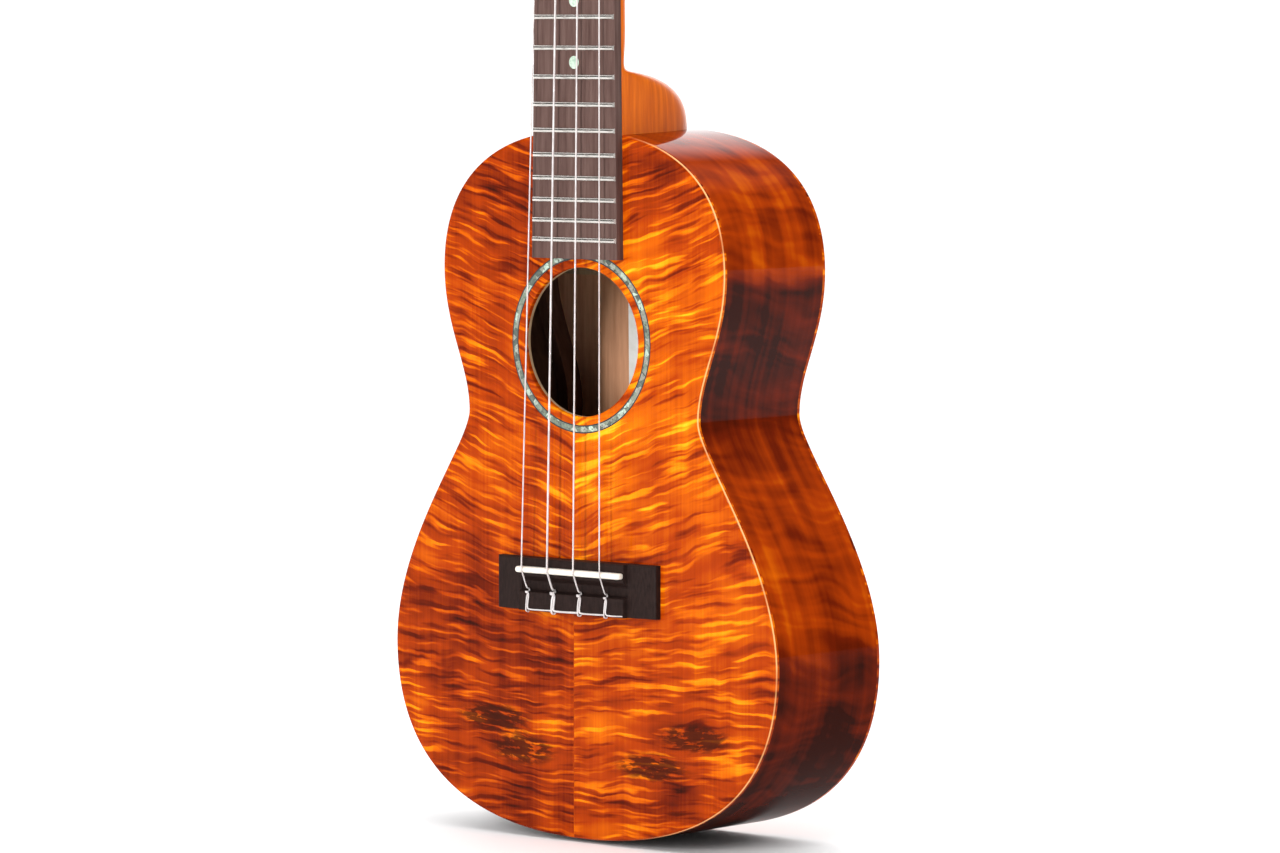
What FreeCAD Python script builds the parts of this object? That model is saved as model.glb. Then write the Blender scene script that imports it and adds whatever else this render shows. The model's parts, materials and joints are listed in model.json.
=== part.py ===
import FreeCAD, Part
import math
import os

# Concert ukulele, standing upright.  Millimetres.
# +Z runs up the neck, -Y is the front and +X is the treble side.  z = 0 is the tail of the body and x = 0
# the middle plane.  The pieces are drawn with y = 0 on the soundboard's outer face and saved at FACE_Y, which
# puts the middle of the whole depth, from the strings over the saddle to the back, on y = 0.

V = FreeCAD.Vector

# ---- strings and scale ----
SCALE_LENGTH = 381.0
JOINT_FRET = 14                      # this fret lies over the body's upper edge
STRING_NAMES = ["g", "c", "e", "a"]  # from the bass side
STRING_RADII = [0.30, 0.42, 0.35, 0.28]
SADDLE_SPREAD = 40.4                 # outer string to outer string
NUT_SPREAD = 28.5
SADDLE_STRING_SHIFT = -2.4           # the strings cross the saddle a little to the bass side of its middle
STRING_GAP = 0.05                    # string to the piece that it lies on

# ---- body ----
BODY_LENGTH = 278.0
DEPTH_AT_TAIL = 65.4
DEPTH_AT_NECK = 62.2
LOWER_HALF_WIDTH = 98.5
LOWER_HEIGHT = 72.3
WAIST_HALF_WIDTH = 59.2
WAIST_HEIGHT = 166.4
UPPER_HALF_WIDTH = 72.45
UPPER_HEIGHT = 223.3
# Reach of each outline curve's handle: along x at the tail and the upper edge, along z at the others
TAIL_REACH = 65.0
LOWER_REACH_DOWN = 46.3
LOWER_REACH_UP = 41.3
WAIST_REACH_DOWN = 13.1
WAIST_REACH_UP = 17.6
UPPER_REACH_DOWN = 24.6
UPPER_REACH_UP = 36.0
SHOULDER_REACH = 44.9
TOP_THICKNESS = 2.0
BACK_THICKNESS = 2.2
RIB_THICKNESS = 2.0
EDGE_ROUNDING = 1.0
TOP_SEAM_X = -3.7                    # the book-matched soundboard's glue line
SOUNDHOLE_RADIUS = 29.2
SOUNDHOLE_BELOW_NECK = 82.7          # the hole's centre to the body's upper edge

# ---- inside the body ----
LINING_THICKNESS = 5.0
LINING_HEIGHT = 9.0
NECK_BLOCK_WIDTH = 54.0
NECK_BLOCK_THICKNESS = 18.0
TAIL_BLOCK_WIDTH = 46.0
TAIL_BLOCK_THICKNESS = 10.0
BRACE_WIDTH = 6.0
BRACE_HEIGHT = 8.0
BRACE_END_HEIGHT = 2.0
BRACE_TAPER = 18.0
BRACE_CLEARANCE = 0.5
BRACE_FROM_HOLE = 9.0
FAN_ABOVE_TAIL_BLOCK = 10.7
FAN_WIDTH = 5.0
FAN_HEIGHT = 5.0
FAN_SPACING = 27.0
FAN_SPLAY = 12.0                     # degrees
PATCH_WIDTH = 12.0
PATCH_THICKNESS = 1.4
BRIDGE_PLATE_MARGIN = 4.0
BRIDGE_PLATE_THICKNESS = 1.8
BACK_BRACES_ABOVE_TAIL = [58.0, 135.0, 222.0]
SEAM_STRIP_WIDTH = 14.0
SEAM_STRIP_THICKNESS = 1.6
LABEL_WIDTH = 52.0
LABEL_HEIGHT = 46.0
LABEL_THICKNESS = 0.15

# ---- rosette ----
ROSETTE_FROM_HOLE = 3.3              # ring of wood between the hole and the rosette
ROSETTE_LINE_WIDTH = 0.5
ROSETTE_SHELL_WIDTH = 2.2
ROSETTE_DEPTH = 0.8

# ---- neck ----
NUT_WIDTH = 37.2
FRETBOARD_END_WIDTH = 43.9
FRETBOARD_THICKNESS = 4.0
FRETBOARD_HOLE_GAP = 3.5             # the fretboard's end to the soundhole's edge
NECK_DEPTH_AT_NUT = 12.6
NECK_DEPTH_AT_HEEL = 13.6
NECK_ROUNDNESS = 1.8                 # exponent of the section's curve: 2 is an ellipse, more is squarer
HEEL_DEPTH = 58.0
HEEL_HEIGHT = 23.5
HEEL_SQUARENESS = 3.5
HEEL_PROFILE_POWER = 2.5
HEEL_NARROWING = 0.4
HEEL_BLEND = 14.0
HEEL_LEFTOVER = 1.2                  # extra depth where the heel's curve meets the shaft
HEAD_BLEND = 26.0
FRET_WIDTH = 2.0
FRET_CROWN = 0.9
FRET_END_INSET = 0.4
TANG_WIDTH = 0.5
TANG_DEPTH = 1.8
FRET_END_MARGIN = 4.0
DOT_RADIUS = 2.5
DOT_DEPTH = 0.8
DOT_FRETS = [5, 7, 10, 12]
SIDE_DOT_RADIUS = 0.9
SIDE_DOT_DEPTH = 1.5
SIDE_DOT_RECESS = 0.05
NUT_THICKNESS = 4.0
NUT_ABOVE_BOARD = 1.9
NUT_BEVEL = 0.5
NUT_INSET = 0.1
SLOT_DEPTH = 0.8
SLOT_CLEARANCE = 0.12                # each side of the string: it crosses the nut at a slight angle

# ---- neck joint ----
BOLT_RADIUS = 3.0
BOLT_BEHIND_FACE = 30.0
BOLT_HEAD_RADIUS = 5.5
BOLT_HEAD_HEIGHT = 5.0
HEX_KEY_RADIUS = 2.9
BOLT_END_GAP = 2.0                   # left between the bolt's tip and the insert's end
WASHER_RADIUS = 8.0
WASHER_THICKNESS = 1.5
INSERT_RADIUS = 5.0
INSERT_LENGTH = 16.0
BOLT_CLEARANCE = 0.25
THREAD_CLEARANCE = 0.05

# ---- bridge and saddle ----
BRIDGE_HALF_LENGTH = 40.8
BRIDGE_ABOVE_LINE = 1.8              # upper edge, above the scale's end
BRIDGE_WIDTH = 20.9
BRIDGE_HEIGHT = 6.5
BRIDGE_REAR_BEVEL = 0.6
BRIDGE_FRONT_BEVEL = 0.8
WING_HEIGHT = 4.0
WING_END_HEIGHT = 3.0
BLOCK_HALF_LENGTH = 27.6
TIE_BLOCK_WIDTH = 8.0
TIE_BLOCK_SLOPE = 0.6                # foot of the tie block's front face, ahead of its top
VALLEY_WIDTH = 3.2
RIDGE_LIP = 0.9                      # flat strip of the bridge's top behind the saddle
VALLEY_HEIGHT = 3.0
SADDLE_BELOW_LINE = 2.8              # the saddle stands back from the scale's end
SADDLE_HALF_LENGTH = 27.0
SADDLE_THICKNESS = 2.4
SADDLE_HEIGHT = 9.4
SADDLE_SLOT_FLOOR = 2.4
SADDLE_CLEARANCE = 0.03
TIE_HOLE_RADIUS = 0.75
TIE_HOLE_HEIGHT = 4.9
TIE_RETURN = 0.95                    # sideways step of the string's return over the tie block
TIE_STANDOFF = 0.6
TIE_BEHIND = 1.1                     # the string's middle, behind the tie block
TIE_MOUTH = 0.3                      # straight run out of the tie hole
TIE_BEND = 0.9
STRING_END_BEYOND = 1.2              # the tied end, past the tie block's front edge
STRING_END_DROP = 0.4
STRING_END_REACH = 1.5
STRING_END_BEND = 3.0
NUT_OVERHANG = 0.4
NUT_BEND = 4.0

# ---- headstock ----
HEAD_ANGLE = 12.0
HEAD_LENGTH = 116.0
HEAD_THICKNESS = 12.0
VENEER_THICKNESS = 1.5
HEAD_HALF_WIDTH_LOW = 27.2
HEAD_LOW_HEIGHT = 27.0
HEAD_HALF_WIDTH_TOP = 29.5
HEAD_TOP_CORNER = 8.0
HEAD_CROWN = 5.0

# ---- tuners ----
POST_PLACES = [(16.5, 34.0), (18.5, 78.0)]   # from the middle plane, and from the headstock's lower end
POST_RADIUS = 3.0
POST_WAIST_RADIUS = 2.5
POST_HEIGHT = 15.5                   # above the veneer
POST_CHAMFER = 0.6
WAIST_ABOVE_WINDING = 2.4
STRING_HOLE_RADIUS = 0.75
WINDING_HEIGHT = 5.2                 # first turn above the veneer
WINDING_TURNS = 3
WINDING_GAP = 0.3
RUN_CLEARANCE = 0.06
PRESS_CLEARANCE = 0.02
BUSHING_RADIUS = 4.4
BUSHING_HEAD_RADIUS = 6.6
BUSHING_HEAD_HEIGHT = 2.2
PLATE_THICKNESS = 1.4
COVER_WALL = 1.1
HOUSING_CLEARANCE = 0.5
WHEEL_RADIUS = 5.2
WHEEL_THICKNESS = 3.0
WHEEL_TEETH = 14
WHEEL_SEAT_RADIUS = 2.4
WORM_RADIUS = 2.5
WORM_HALF_LENGTH = 4.5
GEAR_GAP = 0.3
SHAFT_RADIUS = 1.8
BUTTON_BEYOND_HEAD = 2.5
BUTTON_LENGTH = 12.0
BUTTON_WIDTH = 15.0
BUTTON_THICKNESS = 6.6
BUTTON_ROUNDING = 2.2
BUTTON_GRIP = 8.0
SCREW_RADIUS = 1.2
SCREW_HEAD_RADIUS = 2.3
SCREW_HEAD_HEIGHT = 1.3
SCREW_LENGTH = 8.0
SCREW_TIP_GAP = 0.5
SCREW_SLOT_WIDTH = 0.6
SCREW_SLOT_LENGTH = 2.8
BUTTON_BORE_GAP = 0.2
EAR_LENGTH = 6.0

FAR = 400.0                          # past every piece

# ---- worked out ----
BRIDGE_LINE = BODY_LENGTH - SCALE_LENGTH * 2 ** (-JOINT_FRET / 12)
NUT_Z = BRIDGE_LINE + SCALE_LENGTH
HEAD_Z = NUT_Z + NUT_THICKNESS
SADDLE_Z = BRIDGE_LINE - SADDLE_BELOW_LINE
BRIDGE_TOP_Z = BRIDGE_LINE + BRIDGE_ABOVE_LINE
BRIDGE_LOW_Z = BRIDGE_TOP_Z - BRIDGE_WIDTH
SOUNDHOLE_Z = BODY_LENGTH - SOUNDHOLE_BELOW_NECK
BOARD_END_Z = SOUNDHOLE_Z + SOUNDHOLE_RADIUS + FRETBOARD_HOLE_GAP
ROSETTE_INNER_RADIUS = SOUNDHOLE_RADIUS + ROSETTE_FROM_HOLE
ROSETTE_OUTER_RADIUS = ROSETTE_INNER_RADIUS + 2 * ROSETTE_LINE_WIDTH + ROSETTE_SHELL_WIDTH
GEAR_CENTRES = WHEEL_RADIUS + WORM_RADIUS + GEAR_GAP
NUT_TOP = FRETBOARD_THICKNESS + NUT_ABOVE_BOARD
FRONT_REACH = SADDLE_HEIGHT + STRING_GAP + 2 * max(STRING_RADII)
FACE_Y = (FRONT_REACH - DEPTH_AT_TAIL) / 2


def box(low, high):
    """Block between two opposite corners."""
    return Part.makeBox(high[0] - low[0], high[1] - low[1], high[2] - low[2], V(*low))


def disc(centre, radius, y_from, y_to):
    """Round bar along y, with centre = (x, z)."""
    return Part.makeCylinder(radius, y_to - y_from, V(centre[0], y_from, centre[1]), V(0, 1, 0))


def ring(centre, inner, outer, y_from, y_to):
    """Flat ring facing y."""
    return disc(centre, outer, y_from, y_to).cut(disc(centre, inner, y_from - 1, y_to + 1))


def bar_along_x(radius, x_from, x_to, y, z):
    """Round bar along x."""
    low, high = sorted((x_from, x_to))
    return Part.makeCylinder(radius, high - low, V(low, y, z), V(1, 0, 0))


def extrude_x(points_yz, x_from, x_to):
    """Prism along x over a polygon of (y, z) points."""
    corners = [V(x_from, y, z) for y, z in points_yz]
    return Part.Face(Part.makePolygon(corners + corners[:1])).extrude(V(x_to - x_from, 0, 0))


def extrude_y(points_xz, y_from, y_to):
    """Prism along y over a polygon of (x, z) points."""
    corners = [V(x, y_from, z) for x, z in points_xz]
    return Part.Face(Part.makePolygon(corners + corners[:1])).extrude(V(0, y_to - y_from, 0))


def mirrored(shape):
    return shape.mirror(V(0, 0, 0), V(1, 0, 0))


# ---- body outline ----

def outline_handles():
    """Four cubic curves of the treble half, from the tail to the neck, as lists of (x, z) poles."""
    tail = (0, 0)
    low = (LOWER_HALF_WIDTH, LOWER_HEIGHT)
    waist = (WAIST_HALF_WIDTH, WAIST_HEIGHT)
    up = (UPPER_HALF_WIDTH, UPPER_HEIGHT)
    top = (0, BODY_LENGTH)
    return [
        [tail, (TAIL_REACH, 0), (low[0], low[1] - LOWER_REACH_DOWN), low],
        [low, (low[0], low[1] + LOWER_REACH_UP), (waist[0], waist[1] - WAIST_REACH_DOWN), waist],
        [waist, (waist[0], waist[1] + WAIST_REACH_UP), (up[0], up[1] - UPPER_REACH_DOWN), up],
        [up, (up[0], up[1] + UPPER_REACH_UP), (SHOULDER_REACH, top[1]), top],
    ]


def inset_curve(poles, inset):
    """The curve of these poles moved towards the inside of the body by the inset."""
    bezier = Part.BezierCurve()
    bezier.setPoles([V(x, 0, z) for x, z in poles])
    if inset == 0:
        return bezier.toShape()
    count = 12
    points = []
    for i in range(count + 1):
        at = bezier.value(i / count)
        along = bezier.tangent(i / count)[0]
        points.append(at + V(-along.z, 0, along.x) * inset)
    spline = Part.BSplineCurve()
    first = bezier.tangent(0.0)[0]
    last = bezier.tangent(1.0)[0]
    spline.interpolate(Points=points, InitialTangent=first, FinalTangent=last)
    return spline.toShape()


def body_face(inset):
    """Flat face of the body's outline, inset all round, at y = 0."""
    treble = [inset_curve(poles, inset) for poles in outline_handles()]
    bass = [mirrored(edge) for edge in treble]
    return Part.Face(Part.Wire(Part.__sortEdges__(treble + bass)))


def body_prism(inset):
    return body_face(inset).extrude(V(0, 2 * DEPTH_AT_TAIL, 0))


def depth_at(z):
    """Depth of the body's back at height z: the back leans in towards the neck."""
    return DEPTH_AT_TAIL + (DEPTH_AT_NECK - DEPTH_AT_TAIL) * z / BODY_LENGTH


def layer(front, back_inset):
    """Everything between the plane y = front and the back's outer plane moved in by back_inset."""
    low, high = -FAR, 2 * FAR
    return extrude_x([(front, low), (front, high), (depth_at(high) - back_inset, high),
                      (depth_at(low) - back_inset, low)], -FAR, FAR)


def back_layer(outer_inset, inner_inset):
    """Everything between the back's outer plane moved in by outer_inset and by inner_inset."""
    low, high = -FAR, 2 * FAR
    return extrude_x([(depth_at(low) - inner_inset, low), (depth_at(high) - inner_inset, high),
                      (depth_at(high) - outer_inset, high), (depth_at(low) - outer_inset, low)], -FAR, FAR)


def side_of(shape, side, x=0.0):
    """The part of a shape on one side of the plane x: side is 1 for treble and -1 for bass."""
    low, high = (x, FAR) if side > 0 else (-FAR, x)
    return shape.common(box((low, -FAR, -FAR), (high, FAR, 2 * FAR)))


def half_width_at(z, inset):
    """Half width of the outline, inset all round, at height z."""
    line = Part.makeLine(V(0, 0, z), V(FAR, 0, z))
    return body_face(inset).common(line).BoundBox.XMax


# ---- body pieces ----

def rib(side):
    wall = body_prism(0).cut(body_prism(RIB_THICKNESS)).common(layer(TOP_THICKNESS, BACK_THICKNESS))
    hole = Part.makeCylinder(BOLT_RADIUS + BOLT_CLEARANCE, 4 * RIB_THICKNESS,
                             V(0, BOLT_BEHIND_FACE, BODY_LENGTH - 2 * RIB_THICKNESS))
    return side_of(wall, side).cut(hole)


def soundboard(side):
    plate = body_face(0).extrude(V(0, TOP_THICKNESS, 0))
    rims = [e for e in plate.Edges if e.BoundBox.YMax < 0.01]
    plate = plate.makeFillet(EDGE_ROUNDING, rims)
    centre = (0, SOUNDHOLE_Z)
    plate = plate.cut(disc(centre, SOUNDHOLE_RADIUS, -1, TOP_THICKNESS + 1))
    plate = plate.cut(ring(centre, ROSETTE_INNER_RADIUS, ROSETTE_OUTER_RADIUS, -1, ROSETTE_DEPTH))
    return side_of(plate, side, TOP_SEAM_X)


def back(side):
    plate = body_prism(0).common(back_layer(0, BACK_THICKNESS))
    rims = [e for e in plate.Edges
            if abs(e.BoundBox.YMax - depth_at(e.BoundBox.ZMin)) < 0.01]
    plate = plate.makeFillet(EDGE_ROUNDING, rims)
    return side_of(plate, side)


def block_columns(clearance):
    """The neck block's and the tail block's widths, over their whole height, plus a clearance each side."""
    neck_half = NECK_BLOCK_WIDTH / 2 + clearance
    tail_half = TAIL_BLOCK_WIDTH / 2 + clearance
    return box((-neck_half, -FAR, BODY_LENGTH / 2), (neck_half, FAR, 2 * FAR)).fuse(
        box((-tail_half, -FAR, -FAR), (tail_half, FAR, BODY_LENGTH / 3)))


def lining_ring():
    inner = RIB_THICKNESS + LINING_THICKNESS
    return body_prism(RIB_THICKNESS).cut(body_prism(inner)).cut(block_columns(BRACE_CLEARANCE))


def top_linings():
    deep = TOP_THICKNESS + LINING_HEIGHT
    return lining_ring().common(box((-FAR, TOP_THICKNESS, -FAR), (FAR, deep, 2 * FAR)))


def back_linings():
    return lining_ring().common(back_layer(BACK_THICKNESS, BACK_THICKNESS + LINING_HEIGHT))


def neck_block():
    half = NECK_BLOCK_WIDTH / 2
    low = BODY_LENGTH - RIB_THICKNESS - NECK_BLOCK_THICKNESS
    block = body_prism(RIB_THICKNESS).common(box((-half, 0, low), (half, FAR, 2 * FAR)))
    bore = Part.makeCylinder(BOLT_RADIUS + BOLT_CLEARANCE, 2 * NECK_BLOCK_THICKNESS,
                             V(0, BOLT_BEHIND_FACE, low - 1))
    return block.common(layer(TOP_THICKNESS, BACK_THICKNESS)).cut(bore)


def tail_block():
    half = TAIL_BLOCK_WIDTH / 2
    high = RIB_THICKNESS + TAIL_BLOCK_THICKNESS
    block = body_prism(RIB_THICKNESS).common(box((-half, 0, -FAR), (half, FAR, high)))
    return block.common(layer(TOP_THICKNESS, BACK_THICKNESS))


def tapered_bar(half_length, width, height):
    """Brace along x at the origin, glued face at y = 0 and rising to +y, thinner towards its ends."""
    end = min(BRACE_END_HEIGHT, height / 2)
    run = min(BRACE_TAPER, half_length / 2)
    corners = [(-half_length, 0), (half_length, 0), (half_length, end), (half_length - run, height),
               (-half_length + run, height), (-half_length, end)]
    points = [V(x, y, -width / 2) for x, y in corners]
    return Part.Face(Part.makePolygon(points + points[:1])).extrude(V(0, 0, width))


def cross_brace(z):
    """Brace across the soundboard at height z, between the linings."""
    inset = RIB_THICKNESS + LINING_THICKNESS + BRACE_CLEARANCE
    reach = min(half_width_at(z - BRACE_WIDTH / 2, inset), half_width_at(z + BRACE_WIDTH / 2, inset))
    brace = tapered_bar(reach, BRACE_WIDTH, BRACE_HEIGHT)
    brace.translate(V(0, TOP_THICKNESS, z))
    return brace


def brace_offset():
    return SOUNDHOLE_RADIUS + BRACE_FROM_HOLE + BRACE_WIDTH / 2


def upper_cross_brace():
    return cross_brace(SOUNDHOLE_Z + brace_offset())


def lower_cross_brace():
    return cross_brace(SOUNDHOLE_Z - brace_offset())


def fan_braces():
    """Three braces below the bridge plate, fanning out towards the tail."""
    top = BRIDGE_LOW_Z - BRIDGE_PLATE_MARGIN - BRACE_CLEARANCE
    foot = RIB_THICKNESS + TAIL_BLOCK_THICKNESS + FAN_ABOVE_TAIL_BLOCK
    bars = []
    for place in (-1, 0, 1):
        bar = tapered_bar((top - foot) / 2, FAN_WIDTH, FAN_HEIGHT)
        bar.rotate(V(0, 0, 0), V(0, 1, 0), 90 + place * FAN_SPLAY)
        low = bar.BoundBox.ZMax
        bar.translate(V(place * FAN_SPACING, TOP_THICKNESS, top - low))
        bars.append(bar)
    return Part.makeCompound(bars)


def bridge_plate():
    half = BRIDGE_HALF_LENGTH + BRIDGE_PLATE_MARGIN
    low = BRIDGE_LOW_Z - BRIDGE_PLATE_MARGIN
    high = BRIDGE_TOP_Z + BRIDGE_PLATE_MARGIN
    return box((-half, TOP_THICKNESS, low), (half, TOP_THICKNESS + BRIDGE_PLATE_THICKNESS, high))


def soundhole_patch():
    """Thin ring glued under the soundboard round the soundhole, trimmed beside the cross braces."""
    reach = min(PATCH_WIDTH, BRACE_FROM_HOLE - BRACE_CLEARANCE)
    return ring((0, SOUNDHOLE_Z), SOUNDHOLE_RADIUS, SOUNDHOLE_RADIUS + reach, TOP_THICKNESS,
                TOP_THICKNESS + PATCH_THICKNESS)


def lay_on_back(shape):
    """Turns a piece drawn with its glued face at y = 0, rising to -y, onto the inner face of the back."""
    lean = math.degrees(math.atan2(DEPTH_AT_TAIL - DEPTH_AT_NECK, BODY_LENGTH))
    shape.rotate(V(0, 0, 0), V(1, 0, 0), lean)
    shape.translate(V(0, depth_at(0) - BACK_THICKNESS / math.cos(math.radians(lean)), 0))
    return shape


def back_braces():
    inset = RIB_THICKNESS + LINING_THICKNESS + BRACE_CLEARANCE
    bars = []
    for z in BACK_BRACES_ABOVE_TAIL:
        reach = min(half_width_at(z - BRACE_WIDTH / 2, inset), half_width_at(z + BRACE_WIDTH / 2, inset))
        bar = tapered_bar(reach, BRACE_WIDTH, BRACE_HEIGHT)
        bar.rotate(V(0, 0, 0), V(0, 0, 1), 180)
        bar.translate(V(0, 0, z))
        bars.append(lay_on_back(bar))
    return Part.makeCompound(bars)


def back_seam_strip():
    """Strips over the back's seam, between the braces and the blocks."""
    gap = BRACE_WIDTH / 2 + BRACE_CLEARANCE
    low = RIB_THICKNESS + TAIL_BLOCK_THICKNESS + BRACE_CLEARANCE
    high = BODY_LENGTH - RIB_THICKNESS - NECK_BLOCK_THICKNESS - BRACE_CLEARANCE
    starts = [low] + [z + gap for z in BACK_BRACES_ABOVE_TAIL]
    ends = [z - gap for z in BACK_BRACES_ABOVE_TAIL] + [high]
    half = SEAM_STRIP_WIDTH / 2
    strips = [box((-half, -SEAM_STRIP_THICKNESS, a), (half, 0, b)) for a, b in zip(starts, ends)]
    return Part.makeCompound([lay_on_back(strip) for strip in strips])


def blank_label():
    """Blank paper label on the seam strip, seen through the soundhole."""
    half = LABEL_WIDTH / 2
    back_of_label = -SEAM_STRIP_THICKNESS
    low = SOUNDHOLE_Z - LABEL_HEIGHT / 2
    paper = box((-half, back_of_label - LABEL_THICKNESS, low), (half, back_of_label, low + LABEL_HEIGHT))
    for z in BACK_BRACES_ABOVE_TAIL:
        gap = BRACE_WIDTH / 2 + BRACE_CLEARANCE
        paper = paper.cut(box((-FAR, -FAR, z - gap), (FAR, FAR, z + FAR if z > SOUNDHOLE_Z else z + gap)))
    return lay_on_back(paper)


def rosette_band(start, width):
    """One ring of the rosette, from this distance outside the rosette's inner radius."""
    inner = ROSETTE_INNER_RADIUS + start
    return ring((0, SOUNDHOLE_Z), inner, inner + width, 0, ROSETTE_DEPTH)


# ---- neck ----

def board_half_width(z):
    """Half width of the fretboard and the neck's front at height z."""
    share = (NUT_Z - z) / (NUT_Z - BOARD_END_Z)
    return NUT_WIDTH / 2 + (FRETBOARD_END_WIDTH - NUT_WIDTH) / 2 * share


def shaft_depth(z):
    share = (NUT_Z - z) / (NUT_Z - BODY_LENGTH)
    return NECK_DEPTH_AT_NUT + (NECK_DEPTH_AT_HEEL - NECK_DEPTH_AT_NUT) * share


def neck_section(z, depth, power, narrowing):
    """Closed section at height z: flat front at y = 0 and a superellipse of this power behind it."""
    half = board_half_width(z)
    points = []
    count = 16
    for i in range(count + 1):
        turn = math.pi * i / count
        across = math.copysign(abs(math.cos(turn)) ** (2 / power), math.cos(turn))
        behind = max(math.sin(turn), 0) ** (2 / power)
        points.append(V(half * across * (1 - narrowing * behind), depth * behind, z))
    points[0] = V(half, 0, z)
    points[-1] = V(-half, 0, z)
    back_curve = Part.BSplineCurve()
    back_curve.interpolate(points)
    return Part.Wire([back_curve.toShape(), Part.makeLine(points[-1], points[0])])


def heel_sections():
    """Sections from inside the body up the heel's rounded end to the shaft."""
    sections = [neck_section(BODY_LENGTH - 6, HEEL_DEPTH, HEEL_SQUARENESS, HEEL_NARROWING)]
    steps = 9
    for i in range(steps):
        turn = math.radians(90) * i / steps
        rise = HEEL_HEIGHT * math.sin(turn) ** (2 / HEEL_PROFILE_POWER)
        depth = HEEL_DEPTH * math.cos(turn) ** (2 / HEEL_PROFILE_POWER)
        z = BODY_LENGTH + rise
        share = (depth - shaft_depth(z)) / (HEEL_DEPTH - shaft_depth(z))
        power = NECK_ROUNDNESS + (HEEL_SQUARENESS - NECK_ROUNDNESS) * max(share, 0)
        narrowing = HEEL_NARROWING * max(share, 0)
        if i > 0 and depth > shaft_depth(z) + 3:
            sections.append(neck_section(z, depth, power, narrowing))
    return sections


def shaft_sections():
    """Sections from above the heel to the headstock, squarer over the last stretch."""
    first = BODY_LENGTH + HEEL_HEIGHT + 3
    sections = [neck_section(first, shaft_depth(first) + HEEL_LEFTOVER, NECK_ROUNDNESS, 0)]
    for z in (first + HEEL_BLEND / 2, first + HEEL_BLEND, (first + NUT_Z) / 2, HEAD_Z - 2 * HEAD_BLEND,
              HEAD_Z - HEAD_BLEND):
        sections.append(neck_section(z, shaft_depth(z), NECK_ROUNDNESS, 0))
    for share in (0.5, 1.0):
        z = HEAD_Z - HEAD_BLEND * (1 - share)
        power = NECK_ROUNDNESS + (2 * HEEL_SQUARENESS - NECK_ROUNDNESS) * share ** 2
        sections.append(neck_section(z, shaft_depth(z), power, 0))
    return sections


def tilt(shape):
    """Leans a piece drawn on an upright headstock back to the headstock's own angle."""
    shape.rotate(V(0, 0, HEAD_Z), V(1, 0, 0), -HEAD_ANGLE)
    return shape


def head_place(x, behind, up):
    """A point of the leaning headstock: behind is from its wooden front, up from its lower end."""
    lean = math.radians(HEAD_ANGLE)
    return V(x, behind * math.cos(lean) + up * math.sin(lean),
             HEAD_Z - behind * math.sin(lean) + up * math.cos(lean))


def head_slab(front, thickness):
    """Headstock-shaped slab, upright, from y = front."""
    root = board_half_width(HEAD_Z)
    low = HEAD_Z + HEAD_LOW_HEIGHT
    top = HEAD_Z + HEAD_LENGTH
    flare = Part.BezierCurve()
    middle = (HEAD_Z + low) / 2
    flare.setPoles([V(root, front, HEAD_Z), V(root, front, middle), V(HEAD_HALF_WIDTH_LOW, front, middle),
                    V(HEAD_HALF_WIDTH_LOW, front, low)])
    corner_x = HEAD_HALF_WIDTH_TOP - HEAD_TOP_CORNER
    corner_z = top - HEAD_CROWN
    side_top = V(HEAD_HALF_WIDTH_TOP, front, corner_z - HEAD_TOP_CORNER)
    bend = math.sqrt(0.5) * HEAD_TOP_CORNER
    corner = Part.Arc(side_top, V(corner_x + bend, front, corner_z - HEAD_TOP_CORNER + bend),
                      V(corner_x, front, corner_z))
    half = [flare.toShape(), Part.makeLine(V(HEAD_HALF_WIDTH_LOW, front, low), side_top), corner.toShape()]
    crown = Part.Arc(V(corner_x, front, corner_z), V(0, front, top), V(-corner_x, front, corner_z)).toShape()
    foot = Part.makeLine(V(-root, front, HEAD_Z), V(root, front, HEAD_Z))
    edges = half + [mirrored(edge) for edge in half] + [crown, foot]
    return Part.Face(Part.Wire(Part.__sortEdges__(edges))).extrude(V(0, thickness, 0))


def each_post():
    """Side, distance up the headstock and name of each post, bass side first, outer strings lowest."""
    near, far = POST_PLACES
    return [("g", -1, near), ("c", -1, far), ("e", 1, far), ("a", 1, near)]


def neck():
    wood = Part.makeLoft(heel_sections() + shaft_sections(), True, False)
    head = head_slab(0, HEAD_THICKNESS)
    for name, side, (x, up) in each_post():
        head = head.cut(disc((side * x, HEAD_Z + up), BUSHING_RADIUS, -1, HEAD_THICKNESS + 1))
        head = head.cut(disc((side * x, screw_z(up)), SCREW_RADIUS, HEAD_THICKNESS - SCREW_LENGTH,
                             HEAD_THICKNESS + 1))
    wood = wood.fuse(tilt(head)).removeSplitter()
    wood = wood.cut(body_face(0).extrude(V(0, 2 * DEPTH_AT_TAIL, 0)))
    socket = Part.makeCylinder(INSERT_RADIUS, INSERT_LENGTH + 2, V(0, BOLT_BEHIND_FACE, BODY_LENGTH - 1))
    return wood.cut(socket)


def neck_insert():
    barrel = Part.makeCylinder(INSERT_RADIUS - PRESS_CLEARANCE, INSERT_LENGTH,
                               V(0, BOLT_BEHIND_FACE, BODY_LENGTH))
    bore = Part.makeCylinder(BOLT_RADIUS + THREAD_CLEARANCE, INSERT_LENGTH + 2,
                             V(0, BOLT_BEHIND_FACE, BODY_LENGTH - 1))
    return barrel.cut(bore)


def block_face_z():
    return BODY_LENGTH - RIB_THICKNESS - NECK_BLOCK_THICKNESS


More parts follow.
